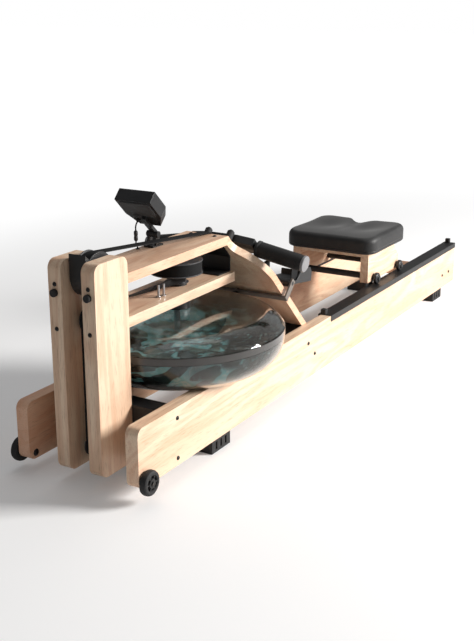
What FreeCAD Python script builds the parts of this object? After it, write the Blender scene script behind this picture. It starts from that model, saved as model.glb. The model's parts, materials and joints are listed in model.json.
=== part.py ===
import FreeCAD, Part
import math
import os
import re
import Sketcher

os.makedirs("parts", exist_ok=True)
doc = FreeCAD.newDocument("water_rower")

# Driving dimensions, in millimetres and degrees.  X is measured back from the front end of
# the rails and Z up from the floor.  Left, +Y, is the left of someone who stands at the tank
# and looks towards the seat.
SIZES = {
    # rails and what stands on the floor
    "rail_length": 2100, "rail_height": 146, "rail_thick": 33.4, "rail_gap": 279.4,
    "foot_height": 34, "rail_round": 20, "rail_end_round": 8,
    "foot_length": 88, "foot_width": 56, "front_foot_x": 309, "rear_foot_x": 1878,
    "rib_gap": 7,
    # seat tracks
    "track_front": 984, "track_rear": 2097, "track_sheet": 1.7, "track_drop": 17,
    "track_overhang": 8.7, "stop_length": 16, "stop_height": 15,
    # transport wheels
    "caster_x": 22, "caster_z": 49, "caster_radius": 30, "caster_width": 22,
    "caster_bolt": 5,
    # posts and the two decks between them and the footboard
    "post_front": 10.6, "post_depth": 120.8, "post_thick": 35.8, "post_gap": 56.4,
    "post_bottom": 30, "post_top": 531, "post_round": 22,
    "deck_top": 488.4, "deck_thick": 23.4, "low_deck_top": 386, "low_deck_thick": 25,
    "low_deck_end": 607, "deck_bolt_x": 552,
    # sloping footboard
    "slope": 44.5, "peak_x": 574.3, "board_thick": 20.6, "board_length": 510,
    "neck_straight": 19, "neck_radius": 45, "shoulder_angle": 50,
    # cross members, bolts, bumpers
    "member_depth": 51.2, "member_height": 138, "member_sheet": 3,
    "bracket_along": 462, "bracket_length": 90, "bracket_depth": 92,
    "rear_bar_x": 1945, "rear_bar_length": 117, "rear_bar_z": 68, "rear_bar_thick": 26,
    "bolt": 3, "bolt_head": 5.4, "bolt_head_height": 3.6, "bolt_grip": 14,
    "bumper": 9, "bumper_height": 10, "bumper_z": 457.5,
    # front pulley, recoil pulleys, their straps
    "pulley_x": 90, "pulley_z": 491, "pulley_radius": 50, "pulley_groove": 44,
    "pulley_width": 36, "guard_width": 46, "guard_sheet": 2, "guard_gap": 3,
    "recoil_x": 77, "recoil_z": 385, "recoil_radius": 28.5, "recoil_groove": 25,
    "recoil_width": 28, "lower_pulley_x": 71, "lower_pulley_z": 78,
    "lower_pulley_radius": 23, "axle": 6,
    "strap_width": 27, "strap_thick": 2.4, "recoil_strap_width": 19,
    "bungee": 5, "bungee_start": 330, "bungee_length": 430,
    # water tank
    "tank_x": 425, "tank_radius": 276, "tank_seam_low": 262, "tank_seam_high": 281,
    "tank_floor": 181, "tank_floor_radius": 217, "tank_wall": 5, "bowl_round": 85,
    "dome_shoulder": 222, "dome_shoulder_z": 316, "dome_round": 72, "dome_top": 327,
    "water_top": 268, "paddle_radius": 190, "paddle_low": 203, "paddle_high": 256,
    "paddle_blades": 6, "paddle_sheet": 3, "shaft": 8, "bearing_radius": 34,
    # clutch drum
    "drum_radius": 67, "drum_core": 56, "drum_low": 420, "drum_high": 452,
    "recoil_drum": 31, "recoil_drum_low": 392,
    # handle and the pegs it rests against
    "peg": 10, "peg_spacing": 68.4, "peg_along": 50, "peg_length": 43,
    "handle_deep": 29, "handle_thick": 22, "handle_above": 31.4, "handle_rod": 8,
    "grip": 22, "grip_start": 103, "grip_drop": 6.4, "grip_length": 138, "grip_droop": 9.8,
    "cap_length": 8,
    # seat and carriage
    "seat_front": 1318, "seat_length": 300, "seat_width": 316, "seat_bottom": 289,
    "seat_thick": 58, "seat_round": 40, "seat_edge": 14, "notch_half": 44, "notch_radius": 45,
    "carriage_front": 1340, "carriage_length": 260, "carriage_top": 276,
    "carriage_bottom": 192, "carriage_half": 136, "carriage_thick": 27, "carriage_slant": 40,
    "seat_wheel": 18.4, "seat_wheel_width": 16, "seat_wheel_front": 1388,
    "seat_wheel_spacing": 199, "wheel_bolt": 5, "wheel_gap": 3, "cross_bar": 10.5,
    "cross_bar_front": 1358, "cross_bar_spacing": 202, "cross_bar_z": 212,
    "guide_length": 60, "guide_width": 32, "guide_bottom": 172,
    # footrest
    "yoke_along": 250, "yoke_width": 19, "yoke_sheet": 5, "yoke_half": 155, "yoke_gap": 5,
    "yoke_reach": 32, "pedal_rise": 21, "pedal_rod": 6, "pedal_length": 132,
    "pedal_width": 96, "pedal_thick": 10, "pedal_tilt": 8, "cheek_height": 36,
    "cheek_length": 60, "toe_strap": 36, "toe_strap_thick": 2, "knob": 14,
    # monitor
    "monitor_x": 385, "monitor_y": 40, "pivot_z": 519, "monitor_tilt": 46.6,
    "monitor_rise": 24.8, "monitor_offset": 9.9, "monitor_top_width": 104,
    "monitor_low_width": 61, "monitor_height": 104, "monitor_thick": 33, "bezel": 9,
    "screen_thick": 2, "monitor_arm": 16, "monitor_pin": 4, "ear": 5, "cable": 1.8,
    "plug": 5, "plug_length": 13, "lead_y": 56,
    # clearances
    "seat_clearance": 0.3, "running": 0.05, "slip": 0.4,
}

sheet = doc.addObject("Spreadsheet::Sheet", "Sizes")
for row, (alias, value) in enumerate(SIZES.items(), 1):
    sheet.set(f"A{row}", alias)
    sheet.set(f"B{row}", str(value))
    sheet.setAlias(f"B{row}", alias)
doc.recompute()

# Places worked out from the driving dimensions.
PLACES = {
    "shift": "-(rail_length + caster_x - caster_radius) / 2",
    "rail_inner": "rail_gap / 2",
    "rail_outer": "rail_gap / 2 + rail_thick",
    "rail_top": "foot_height + rail_height",
    "track_top": "foot_height + rail_height + track_sheet",
    "post_back": "post_front + post_depth",
    "post_half": "post_gap / 2 + post_thick",
    "rise": "sin(slope * 1 deg)",
    "run": "cos(slope * 1 deg)",
    "shoulder_radius": "(rail_gap / 2 - seat_clearance - post_gap / 2 - post_thick)"
                       " / (1 - cos(shoulder_angle * 1 deg)) - neck_radius",
    "low_deck_low": "low_deck_top - low_deck_thick",
    "deck_low": "deck_top - deck_thick",
    "wheel_z": "foot_height + rail_height + track_sheet + seat_clearance + seat_wheel",
    "handle_along": "peg_along + peg + handle_deep + seat_clearance",
    "handle_x": "peak_x + handle_along * cos(slope * 1 deg) + handle_above * sin(slope * 1 deg)",
    "handle_z": "deck_top - handle_along * sin(slope * 1 deg) + handle_above * cos(slope * 1 deg)",
    "pivot_x": "peak_x + yoke_along * cos(slope * 1 deg) + pedal_rise * sin(slope * 1 deg)",
    "pedal_z": "deck_top - yoke_along * sin(slope * 1 deg) + pedal_rise * cos(slope * 1 deg)",
    "wheel_rear": "seat_wheel_front + seat_wheel_spacing",
    "probe": "0",
}
places = doc.addObject("App::VarSet", "Places")
WORD = re.compile(r"\b(" + "|".join(sorted(list(SIZES) + list(PLACES), key=len, reverse=True)) + r")\b")


def linked(text):
    """An expression on the sheet's and the variable set's own names."""
    def owner(match):
        word = match.group(1)
        return ("Sizes." if word in SIZES else "Places.") + word
    return WORD.sub(owner, str(text))


for name, text in PLACES.items():
    places.addProperty("App::PropertyFloat", name, "Places")
    places.setExpression(name, linked(text))
doc.recompute()


def number(text):
    """The present value of an expression."""
    places.setExpression("probe", linked(text))
    places.recompute()
    return places.probe


def bind(item, **bindings):
    for prop, text in bindings.items():
        item.setExpression(prop.replace("_", "."), linked(text))
    return item


def place(item, at, rotation=None):
    """Puts an object at a place given by three expressions; X counts from the rail's front."""
    if rotation is not None:
        item.Placement = FreeCAD.Placement(FreeCAD.Vector(), rotation)
    for letter, text in zip("xyz", (f"shift + {at[0]}", at[1], at[2])):
        item.setExpression(f"Placement.Base.{letter}", linked(text))
    return item


X_AXIS, Y_AXIS, Z_AXIS = FreeCAD.Vector(1, 0, 0), FreeCAD.Vector(0, 1, 0), FreeCAD.Vector(0, 0, 1)
TURN = {"x": FreeCAD.Rotation(Y_AXIS, 90), "y": FreeCAD.Rotation(X_AXIS, -90),
        "z": FreeCAD.Rotation()}
SLOPE = FreeCAD.Rotation(Y_AXIS, SIZES["slope"])
nodes = {}


def node(label, item):
    """Names a finished sub-part."""
    item.Label = label
    nodes[label] = item
    return item


def box(size, at, rotation=None):
    item = doc.addObject("Part::Box", "block")
    bind(item, Length=size[0], Width=size[1], Height=size[2])
    return place(item, at, rotation)


def rod(radius, length, at, axis="z", rotation=None):
    """A cylinder that starts at a place and runs along an axis."""
    item = doc.addObject("Part::Cylinder", "rod")
    bind(item, Radius=radius, Height=length)
    return place(item, at, rotation or TURN[axis])


def cut(base, *tools):
    item = doc.addObject("Part::Cut", "cut")
    item.Base = base
    item.Tool = tools[0] if len(tools) == 1 else fuse(*tools)
    return item


def fuse(*items):
    item = doc.addObject("Part::MultiFuse", "fuse")
    item.Shapes = list(items)
    return item


def group(*items):
    item = doc.addObject("Part::Compound", "group")
    item.Links = list(items)
    return item


def mirrored(item):
    """A copy on the other side of the centre line."""
    copy = doc.addObject("Part::Mirroring", "mirror")
    copy.Source = item
    copy.Normal = Y_AXIS
    return copy


def rounded(base, radius, wanted):
    """Rounds the edges that a test picks by their midpoint and direction."""
    doc.recompute()
    size = number(radius)
    picked = []
    for index, edge in enumerate(base.Shape.Edges, 1):
        middle = edge.valueAt((edge.FirstParameter + edge.LastParameter) / 2)
        along = edge.tangentAt(edge.FirstParameter)
        if wanted(middle, along):
            picked.append((index, size, size))
    item = doc.addObject("Part::Fillet", "round")
    item.Base = base
    item.Edges = picked
    return item


def origin_plane(body, role):
    return [item for item in body.Origin.OriginFeatures if item.Role == role][0]


def outline(body, role, corners, circles=()):
    """A closed sketch on a body's origin plane.  Each corner is two expressions; a third
    entry makes the edge that leaves it an arc of that radius, and a fourth of -1 turns the
    arc's bulge to the other side.  Each circle is two expressions and a radius."""
    sketch = body.newObject("Sketcher::SketchObject", "outline")
    sketch.AttachmentSupport = [(origin_plane(body, role), "")]
    sketch.MapMode = "FlatFace"
    points = [FreeCAD.Vector(number(corner[0]), number(corner[1]), 0) for corner in corners]
    count = len(corners)
    ends = []
    for index, corner in enumerate(corners):
        start, end = points[index], points[(index + 1) % count]
        if len(corner) > 2:
            side = corner[3] if len(corner) > 3 else 1
            radius = number(corner[2])
            chord = end - start
            across = FreeCAD.Vector(-chord.y, chord.x, 0).normalize() * side
            depth = radius - math.sqrt(radius ** 2 - (chord.Length / 2) ** 2)
            middle = (start + end) / 2 - across * depth
            sketch.addGeometry(Part.Arc(start, middle, end))
            ends.append((1, 2) if side > 0 else (2, 1))
        else:
            sketch.addGeometry(Part.LineSegment(start, end))
            ends.append((1, 2))
    for index in range(count):
        follower = (index + 1) % count
        sketch.addConstraint(Sketcher.Constraint(
            "Coincident", index, ends[index][1], follower, ends[follower][0]))
    for index, corner in enumerate(corners):
        for kind, text, value in (("DistanceX", corner[0], points[index].x),
                                  ("DistanceY", corner[1], points[index].y)):
            made = sketch.addConstraint(
                Sketcher.Constraint(kind, -1, 1, index, ends[index][0], value))
            sketch.setExpression(f"Constraints[{made}]", linked(text))
        if len(corner) > 2:
            made = sketch.addConstraint(
                Sketcher.Constraint("Radius", index, number(corner[2])))
            sketch.setExpression(f"Constraints[{made}]", linked(corner[2]))
    for x_text, y_text, radius in circles:
        centre = FreeCAD.Vector(number(x_text), number(y_text), 0)
        ring = sketch.addGeometry(Part.Circle(centre, Z_AXIS, number(radius)))
        for kind, text, value in (("DistanceX", x_text, centre.x), ("DistanceY", y_text, centre.y)):
            made = sketch.addConstraint(Sketcher.Constraint(kind, -1, 1, ring, 3, value))
            sketch.setExpression(f"Constraints[{made}]", linked(text))
        made = sketch.addConstraint(Sketcher.Constraint("Radius", ring, number(radius)))
        sketch.setExpression(f"Constraints[{made}]", linked(radius))
    return sketch


def board(corners, thick, at, circles=(), role="XZ_Plane", rotation=None):
    """A plate cut to an outline.  From the XZ plane it grows towards -Y."""
    body = doc.addObject("PartDesign::Body", "plate")
    sketch = outline(body, role, corners, circles)
    pad = body.newObject("PartDesign::Pad", "thickness")
    pad.Profile = sketch
    bind(pad, Length=thick)
    place(body, at, rotation)
    return body


def turned(corners, at, axis="z"):
    """A lathe-turned piece: an outline of radius and height, spun about its own axis."""
    body = doc.addObject("PartDesign::Body", "turning")
    sketch = outline(body, "XZ_Plane", corners)
    spin = body.newObject("PartDesign::Revolution", "spin")
    spin.Profile = sketch
    spin.ReferenceAxis = (sketch, ["V_Axis"])
    spin.Angle = 360
    place(body, at, TURN[axis])
    return body


def shaped(label, shape):
    """A piece whose shape is swept or lofted from sizes read off the sheet."""
    item = doc.addObject("Part::Feature", label)
    item.Shape = shape
    item.Placement = FreeCAD.Placement()
    return node(label, item)


def along_slope(along, above=0):
    """X and Z expressions of a point on the footboard's top face, or above it."""
    return (f"(peak_x + ({along}) * run + ({above}) * rise)",
            f"(deck_top - ({along}) * rise + ({above}) * run)")


def along_slope_at(along, above="0", y="0"):
    """The same point as a place, with its Y."""
    x, z = along_slope(along, above)
    return x, y, z


# ---- rails: two long boards on edge, drilled for the bolts of the cross members -----------
FRONT_BOLTS = [("post_back + member_depth / 2", f"foot_height + member_height / 2 + {side} * 50")
               for side in (1, -1)]
BRACKET_BOLTS = [along_slope(f"bracket_along + {side} * 30", "-board_thick - bracket_depth / 2")
                 for side in (1, -1)]
REAR_BOLTS = [(f"rear_bar_x + rear_bar_length / 2 + {side} * 35", "rear_bar_z + rear_bar_thick / 2")
              for side in (1, -1)]
RAIL_BOLTS = FRONT_BOLTS + BRACKET_BOLTS + REAR_BOLTS


def rail():
    blank = box(("rail_length", "rail_thick", "rail_height"), ("0", "-rail_outer", "foot_height"))
    middle = number("shift + rail_length / 2")
    front = rounded(blank, "rail_round", lambda m, d: abs(d.y) > 0.9 and m.x < middle)
    ends = rounded(front, "rail_end_round",
                   lambda m, d: abs(d.y) > 0.9 and m.x > middle)
    holes = [rod("bolt", "rail_thick + 2", (x, "-rail_outer - 1", z), "y") for x, z in RAIL_BOLTS]
    holes.append(rod("caster_bolt", "rail_thick + 2", ("caster_x", "-rail_outer - 1", "caster_z"), "y"))
    return cut(ends, *holes)


rail_right = node("rail_right", rail())
node("rail_left", mirrored(rail_right))

# Folded steel tracks cap the rails where the seat rolls, with a rubber stop at each end.
track = board([("-rail_outer - track_sheet", "rail_top - track_drop"),
               ("-rail_outer", "rail_top - track_drop"),
               ("-rail_outer", "rail_top"),
               ("-rail_inner + track_overhang - track_sheet", "rail_top"),
               ("-rail_inner + track_overhang - track_sheet", "rail_top - track_drop / 2"),
               ("-rail_inner + track_overhang", "rail_top - track_drop / 2"),
               ("-rail_inner + track_overhang", "track_top"),
               ("-rail_outer - track_sheet", "track_top")],
              "track_rear - track_front", ("track_front", "0", "0"), role="YZ_Plane")
node("seat_tracks", group(track, mirrored(track)))
stops = []
for end in ("track_front", "track_rear - stop_length"):
    stop = box(("stop_length", "seat_wheel_width", "stop_height"),
               (end, "-carriage_half - seat_wheel_width - 3", "track_top"))
    stops += [stop, mirrored(stop)]

# Ribbed rubber feet, screwed under the rails.
feet = []
for start in ("front_foot_x", "rear_foot_x"):
    block = box(("foot_length", "foot_width", "foot_height"), (start, "-rail_outer", "0"))
    slots = [box(("rib_gap", "foot_width - 10", "foot_height * 0.62"),
                 (f"{start} + foot_length * {step} / 4 - rib_gap / 2", "-rail_outer - 1", "foot_height * 0.2"))
             for step in (1, 2, 3)]
    foot = cut(block, *slots)
    feet += [foot, mirrored(foot)]
node("feet", group(*feet))

# Transport wheels: a wide hub and tyre turning on a shouldered bolt outside each rail.
caster = turned([("caster_bolt + running", "0"), ("13", "0"), ("13", "3"), ("caster_radius - 3", "3"),
                 ("caster_radius", "6"), ("caster_radius", "caster_width - 3"),
                 ("caster_radius - 3", "caster_width"), ("18", "caster_width"),
                 ("18", "caster_width - 5"), ("caster_bolt + running", "caster_width - 5")],
                ("caster_x", "rail_outer + 1.5", "caster_z"), "y")
node("transport_wheel_left", caster)
node("transport_wheel_right", mirrored(caster))

# ---- posts, decks and footboard: the wooden A-frame over the tank -------------------------
DECK_BOLT_Z = ["deck_low + deck_thick / 2", "low_deck_low + low_deck_thick / 2"]
MEMBER_BOLT_Z = ["foot_height + 36", "foot_height + 106"]


def post():
    blank = box(("post_depth", "post_thick", "post_top - post_bottom"),
                ("post_front", "-post_half", "post_bottom"))
    body = rounded(blank, "post_round", lambda m, d: abs(d.y) > 0.9)
    middle = "-post_gap / 2 - post_thick / 2"
    holes = [rod("bolt", "post_depth + 2", ("post_front - 1", middle, z), "x") for z in DECK_BOLT_Z]
    holes += [rod("bolt", "bolt_grip + 1", ("post_back - bolt_grip", middle, z), "x")
              for z in MEMBER_BOLT_Z]
    holes += [rod("axle", "post_thick + 2", (x, "-post_half - 1", z), "y")
              for x, z in (("pulley_x", "pulley_z"), ("recoil_x", "recoil_z"),
                           ("lower_pulley_x", "lower_pulley_z"))]
    return cut(body, *holes)


post_right = node("post_right", post())
node("post_left", mirrored(post_right))


def deck(corners, hole_z, extra=()):
    body = board(corners, "2 * post_half", ("0", "post_half", "0"))
    holes = [rod("bolt", "bolt_grip + 1", ("post_back - 1", f"{side} * (post_gap / 2 + post_thick / 2)", hole_z), "x")
             for side in (1, -1)]
    return cut(body, *holes, *extra)


# The top deck and the footboard meet in a mitre; the deck is notched round the pulley.
mitre_x = "(peak_x - board_thick / rise + deck_thick * run / rise)"
notch = box(("pulley_x + pulley_radius + 5 - post_back", "pulley_width + 8", "deck_thick + 2"),
            ("post_back - 1", "-pulley_width / 2 - 4", "deck_low - 1"))
node("top_deck", deck([("post_back", "deck_low"), (mitre_x, "deck_low"), ("peak_x", "deck_top"),
                       ("post_back", "deck_top")],
                      DECK_BOLT_Z[0],
                      [notch, *[rod("bolt", "deck_thick + 2", ("deck_bolt_x", f"{side} * 36", "deck_low - 1"))
                                for side in (1, -1)]]))
node("lower_deck", deck([("post_back", "low_deck_low"), ("low_deck_end", "low_deck_low"),
                         ("low_deck_end", "low_deck_top"), ("post_back", "low_deck_top")],
                        DECK_BOLT_Z[1],
                        [rod("bearing_radius - 8", "low_deck_thick + 2",
                             ("tank_x", "0", "low_deck_low - 1"))]))

# The footboard is laid out flat: along the slope, across it, and its thickness.
half_top = "post_half"
bend = "shoulder_angle * 1 deg"
neck_end = (f"(neck_straight + neck_radius * sin({bend}))",
            f"({half_top} + neck_radius * (1 - cos({bend})))")
shoulder_end = f"({neck_end[0]} + shoulder_radius * sin({bend}))"
shoulder_half = f"({neck_end[1]} + shoulder_radius * (1 - cos({bend})))"
footboard = board([("-1.2 * board_thick", f"-{half_top}"),
                   ("neck_straight", f"-{half_top}", "neck_radius", -1),
                   (neck_end[0], f"-{neck_end[1]}", "shoulder_radius"),
                   (shoulder_end, f"-{shoulder_half}"),
                   ("board_length", f"-{shoulder_half}"),
                   ("board_length", shoulder_half),
                   (shoulder_end, shoulder_half, "shoulder_radius"),
                   (neck_end[0], neck_end[1], "neck_radius", -1),
                   ("neck_straight", half_top), ("-1.2 * board_thick", half_top)],
                  "board_thick", along_slope_at("0", "-board_thick"), role="XY_Plane",
                  rotation=SLOPE)
mitre = board([("peak_x", "deck_top"), ("peak_x", "deck_top + 40"), (f"{mitre_x} - 60", "deck_top + 40"),
               (f"{mitre_x} - 60", "deck_low"), (mitre_x, "deck_low")],
              "2 * post_half + 2", ("0", "post_half + 1", "0"))
peg_holes = [rod("bolt", "board_thick + 2",
                 along_slope_at("peg_along", "-board_thick - 1", f"{side} * peg_spacing / 2"),
                 rotation=SLOPE) for side in (1, -1)]
node("footboard", cut(footboard, mitre, *peg_holes))

# Rubber rollers on the footboard's face keep the handle from sliding down.
pegs = []
for side in (1, -1):
    at = along_slope_at("peg_along", "0", f"{side} * peg_spacing / 2")
    low = along_slope_at("peg_along", "-bolt_grip", f"{side} * peg_spacing / 2")
    sleeve = cut(rod("peg", "peg_length", at, rotation=SLOPE),
                 rod("bolt", "peg_length + 2", along_slope_at("peg_along", "-1", at[1]), rotation=SLOPE))
    head = rod("bolt_head + 1", "bolt_head_height",
               along_slope_at("peg_along", "peg_length", at[1]), rotation=SLOPE)
    pegs += [sleeve, fuse(rod("bolt", "peg_length + bolt_grip", low, rotation=SLOPE), head)]
node("handle_pegs", group(*pegs))

# ---- black steel members ------------------------------------------------------------------
member = cut(box(("member_depth", "rail_gap", "member_height"), ("post_back", "-rail_inner", "foot_height")),
             box(("member_depth", "rail_gap - 2 * member_sheet", "member_height - 2 * member_sheet"),
                 ("post_back + member_sheet", "-rail_inner + member_sheet", "foot_height + member_sheet")),
             box(("member_sheet + 2", "recoil_width + 4", "16"),
                 ("post_back - 1", "-recoil_width / 2 - 2", "lower_pulley_z - lower_pulley_radius - 4")),
             *[rod("bolt", "rail_gap + 2", (x, "-rail_inner - 1", z), "y") for x, z in FRONT_BOLTS],
             *[rod("bolt", "member_sheet + 2",
                   ("post_back - 1", f"{side} * (post_gap / 2 + post_thick / 2)", z), "x")
               for side in (1, -1) for z in MEMBER_BOLT_Z])
node("front_cross_member", member)

corner = along_slope_at("bracket_along - bracket_length / 2", "-board_thick - bracket_depth", "-rail_inner")
inside = along_slope_at("bracket_along - bracket_length / 2 + member_sheet", "-board_thick - bracket_depth - 1",
                        "-rail_inner + member_sheet")
node("footboard_bracket", cut(
    box(("bracket_length", "rail_gap", "bracket_depth"), corner, SLOPE),
    box(("bracket_length", "rail_gap - 2 * member_sheet", "bracket_depth - member_sheet + 1"), inside, SLOPE),
    *[rod("bolt", "rail_gap + 2", (x, "-rail_inner - 1", z), "y") for x, z in BRACKET_BOLTS]))

bar = box(("rear_bar_length", "rail_gap", "rear_bar_thick"), ("rear_bar_x", "-rail_inner", "rear_bar_z"))
node("rear_cross_bar", cut(bar, *[rod("bolt", "bolt_grip + 1", (x, start, z), "y")
                                  for x, z in REAR_BOLTS
                                  for start in ("-rail_inner - 1", "rail_inner - bolt_grip")]))

# A folded plate ties the lower deck, the footboard and the top deck together.
fold_z = "(deck_top - (low_deck_end - peak_x + board_thick / rise) * rise / run)"
node("deck_bracket", board([("low_deck_end - 60", "low_deck_top"), ("low_deck_end", "low_deck_top"),
                            ("low_deck_end", fold_z), (mitre_x, "deck_low"),
                            (f"{mitre_x} - 50", "deck_low"),
                            (f"{mitre_x} - 50", "deck_low - member_sheet"),
                            (f"{mitre_x} - 2", "deck_low - member_sheet"),
                            ("low_deck_end - member_sheet", f"{fold_z} - 2"),
                            ("low_deck_end - member_sheet", "low_deck_top + member_sheet"),
                            ("low_deck_end - 60", "low_deck_top + member_sheet")],
                           "1.6 * post_half", ("0", "0.8 * post_half", "0")))


# ---- fasteners ----------------------------------------------------------------------------
def rail_bolt(x, z):
    shank = rod("bolt", "rail_thick + bolt_grip - 2", (x, "-rail_outer", z), "y")
    head = rod("bolt_head", "bolt_head_height", (x, "-rail_outer - bolt_head_height", z), "y")
    return fuse(shank, head)


def transport_bolts():
    """The shouldered bolts on which the transport wheels turn."""
    bolt = fuse(rod("caster_bolt", "rail_thick + caster_width + 3", ("caster_x", "rail_inner", "caster_z"), "y"),
                rod("caster_bolt + 4", "4", ("caster_x", "rail_inner - 4", "caster_z"), "y"),
                rod("caster_bolt + 4", "4", ("caster_x", "rail_outer + caster_width - 3", "caster_z"), "y"))
    return [bolt, mirrored(bolt)]


bolts = []
for x, z in RAIL_BOLTS:
    bolt = rail_bolt(x, z)
    bolts += [bolt, mirrored(bolt)]
post_middle = "-post_gap / 2 - post_thick / 2"
for z in DECK_BOLT_Z:
    bolt = fuse(rod("bolt", "post_depth + bolt_grip - 2", ("post_front", post_middle, z), "x"),
                rod("bolt_head", "bolt_head_height", ("post_front - bolt_head_height", post_middle, z), "x"))
    bolts += [bolt, mirrored(bolt)]
for z in MEMBER_BOLT_Z:
    bolt = fuse(rod("bolt", "member_sheet + bolt_grip - 2", ("post_back - bolt_grip + 2", post_middle, z), "x"),
                rod("bolt_head", "bolt_head_height", ("post_back + member_sheet", post_middle, z), "x"))
    bolts += [bolt, mirrored(bolt)]
deck_bolt = fuse(rod("bolt", "deck_thick", ("deck_bolt_x", "-36", "deck_low")),
                 rod("bolt_head", "bolt_head_height", ("deck_bolt_x", "-36", "deck_top")))
bolts += [deck_bolt, mirrored(deck_bolt)]
bolts += transport_bolts()
node("frame_bolts", group(*bolts))

# Round rubber bumpers on the posts' front edges, on which the machine stands when upended.
bumper = rounded(rod("bumper", "bumper_height", ("post_front - bumper_height", post_middle, "bumper_z"), "x"),
                 "2.5", lambda m, d: m.x < number("shift + post_front - bumper_height + 1") and abs(d.x) < 0.1)
node("rubber_stops", group(*stops, bumper, mirrored(bumper)))

# ---- pulleys between the posts ------------------------------------------------------------
axles = [rod("axle", "2 * post_half", (x, "-post_half", z), "y")
         for x, z in (("pulley_x", "pulley_z"), ("recoil_x", "recoil_z"), ("lower_pulley_x", "lower_pulley_z"))]
node("pulley_axles", group(*axles))


def sheave(label, radius, groove, width, x, z):
    """A flanged belt pulley that runs on its own bushed bore."""
    rim = "3"
    return node(label, turned(
        [("axle + running", "0"), (radius, "0"), (radius, rim), (groove, f"{rim} + 1"),
         (groove, f"{width} - {rim} - 1"), (radius, f"{width} - {rim}"), (radius, width),
         ("axle + running", width)], (x, f"-{width} / 2", z), "y"))


sheave("front_pulley", "pulley_radius", "pulley_groove", "pulley_width", "pulley_x", "pulley_z")
sheave("recoil_pulley", "recoil_radius", "recoil_groove", "recoil_width", "recoil_x", "recoil_z")
sheave("lower_pulley", "lower_pulley_radius", "lower_pulley_radius - 4", "recoil_width",
       "lower_pulley_x", "lower_pulley_z")

# A moulded guard wraps the front pulley's face and is pinched between the posts on spacers.
reach = "(pulley_radius + guard_gap)"
guard_top = f"(pulley_z + {reach})"
guard_out = [(f"pulley_x - {reach} - guard_sheet", "pulley_z"),
             (f"pulley_x - {reach} - guard_sheet", guard_top),
             (f"pulley_x - {reach} + 24", "pulley_z + pulley_radius * 0.6"),
             (f"pulley_x - {reach} + 24", f"pulley_z - sqrt(({reach} + guard_sheet) ^ 2 - ({reach} - 24) ^ 2)",
              f"{reach} + guard_sheet", -1)]
guard_in = [(f"pulley_x - {reach}", "pulley_z"), (f"pulley_x - {reach}", f"{guard_top} + 5"),
            (f"pulley_x - {reach} + 60", f"{guard_top} + 5"),
            (f"pulley_x - {reach} + 60", f"pulley_z - sqrt({reach} ^ 2 - ({reach} - 60) ^ 2)", reach, -1)]
guard = cut(board(guard_out, "guard_width", ("0", "guard_width / 2", "0")),
            board(guard_in, "guard_width - 2 * guard_sheet", ("0", "guard_width / 2 - guard_sheet", "0")))
spacers = []
for side in (1, -1):
    start = "guard_width / 2" if side > 0 else "-post_gap / 2"
    spacers.append(rod("4", "(post_gap - guard_width) / 2", (f"pulley_x - {reach} + 9", start, "pulley_z + 20"), "y"))
node("pulley_guard", fuse(guard, *spacers))

# ---- water tank: two clear bowls, a bonded seam band, water, paddle and shaft --------------
wall, seam = "tank_wall", "tank_seam_low"
node("tank_lower", turned(
    [("0", "tank_floor"), ("tank_floor_radius", "tank_floor", "bowl_round"),
     ("tank_radius", seam), (f"tank_radius - {wall}", seam, f"bowl_round - {wall}", -1),
     ("tank_floor_radius - 2", f"tank_floor + {wall}"),
     ("0", f"tank_floor + {wall}")], ("tank_x", "0", "0")))
node("tank_rim", turned(
    [(f"tank_radius - {wall}", seam), ("tank_radius", seam), ("tank_radius", "tank_seam_high"),
     (f"tank_radius - {wall}", "tank_seam_high")], ("tank_x", "0", "0")))
neck = "(shaft + 5)"
node("tank_upper", turned(
    [(f"tank_radius - {wall}", "tank_seam_high"), ("tank_radius", "tank_seam_high", "dome_round"),
     ("dome_shoulder", "dome_shoulder_z"), (neck, "dome_top"), (neck, f"dome_top - {wall}"),
     ("dome_shoulder - 2", f"dome_shoulder_z - {wall}", f"dome_round - {wall}", -1)],
    ("tank_x", "0", "0")))
clear = "(tank_wall + slip)"
node("water", turned(
    [("0", f"tank_floor + {clear}"),
     ("tank_floor_radius - 3", f"tank_floor + {clear}", f"bowl_round - {clear} - 1"),
     (f"tank_radius - {clear} - 1", f"{seam} - 2"), (f"tank_radius - {clear} - 1", "water_top"),
     ("paddle_radius + 6", "water_top"), ("paddle_radius + 6", "paddle_low - 4"),
     ("0", "paddle_low - 4")], ("tank_x", "0", "0")))
# The shaft hangs in a housing on the dome and steadies in a flange under the top deck.
bore = "(shaft + running)"
housing = turned([(bore, "dome_top"), ("bearing_radius", "dome_top"), ("bearing_radius", "low_deck_low"),
                  ("bearing_radius - 8", "low_deck_low"), ("bearing_radius - 8", "low_deck_top + 3"),
                  (bore, "low_deck_top + 3")], ("tank_x", "0", "0"))
cap = turned([(bore, "drum_high + 2"), ("22", "drum_high + 2"), ("22", "deck_low"), (bore, "deck_low")],
             ("tank_x", "0", "0"))
node("shaft_bearings", group(housing, cap))
shaft = rod("shaft", "deck_low - 2 - paddle_low", ("tank_x", "0", "paddle_low"))
node("rotor_shaft", shaft)
hub = rod("shaft + 14", "paddle_high - paddle_low", ("tank_x", "0", "paddle_low"))
blades = []
for step in range(SIZES["paddle_blades"]):
    spin = FreeCAD.Rotation(Z_AXIS, 360 * step / SIZES["paddle_blades"])
    blades.append(box(("paddle_radius", "paddle_sheet", "paddle_high - paddle_low"),
                      ("tank_x", "0", "paddle_low"), spin))
node("paddle", cut(fuse(hub, *blades), rod("shaft", "paddle_high", ("tank_x", "0", "paddle_low - 1"))))

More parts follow.
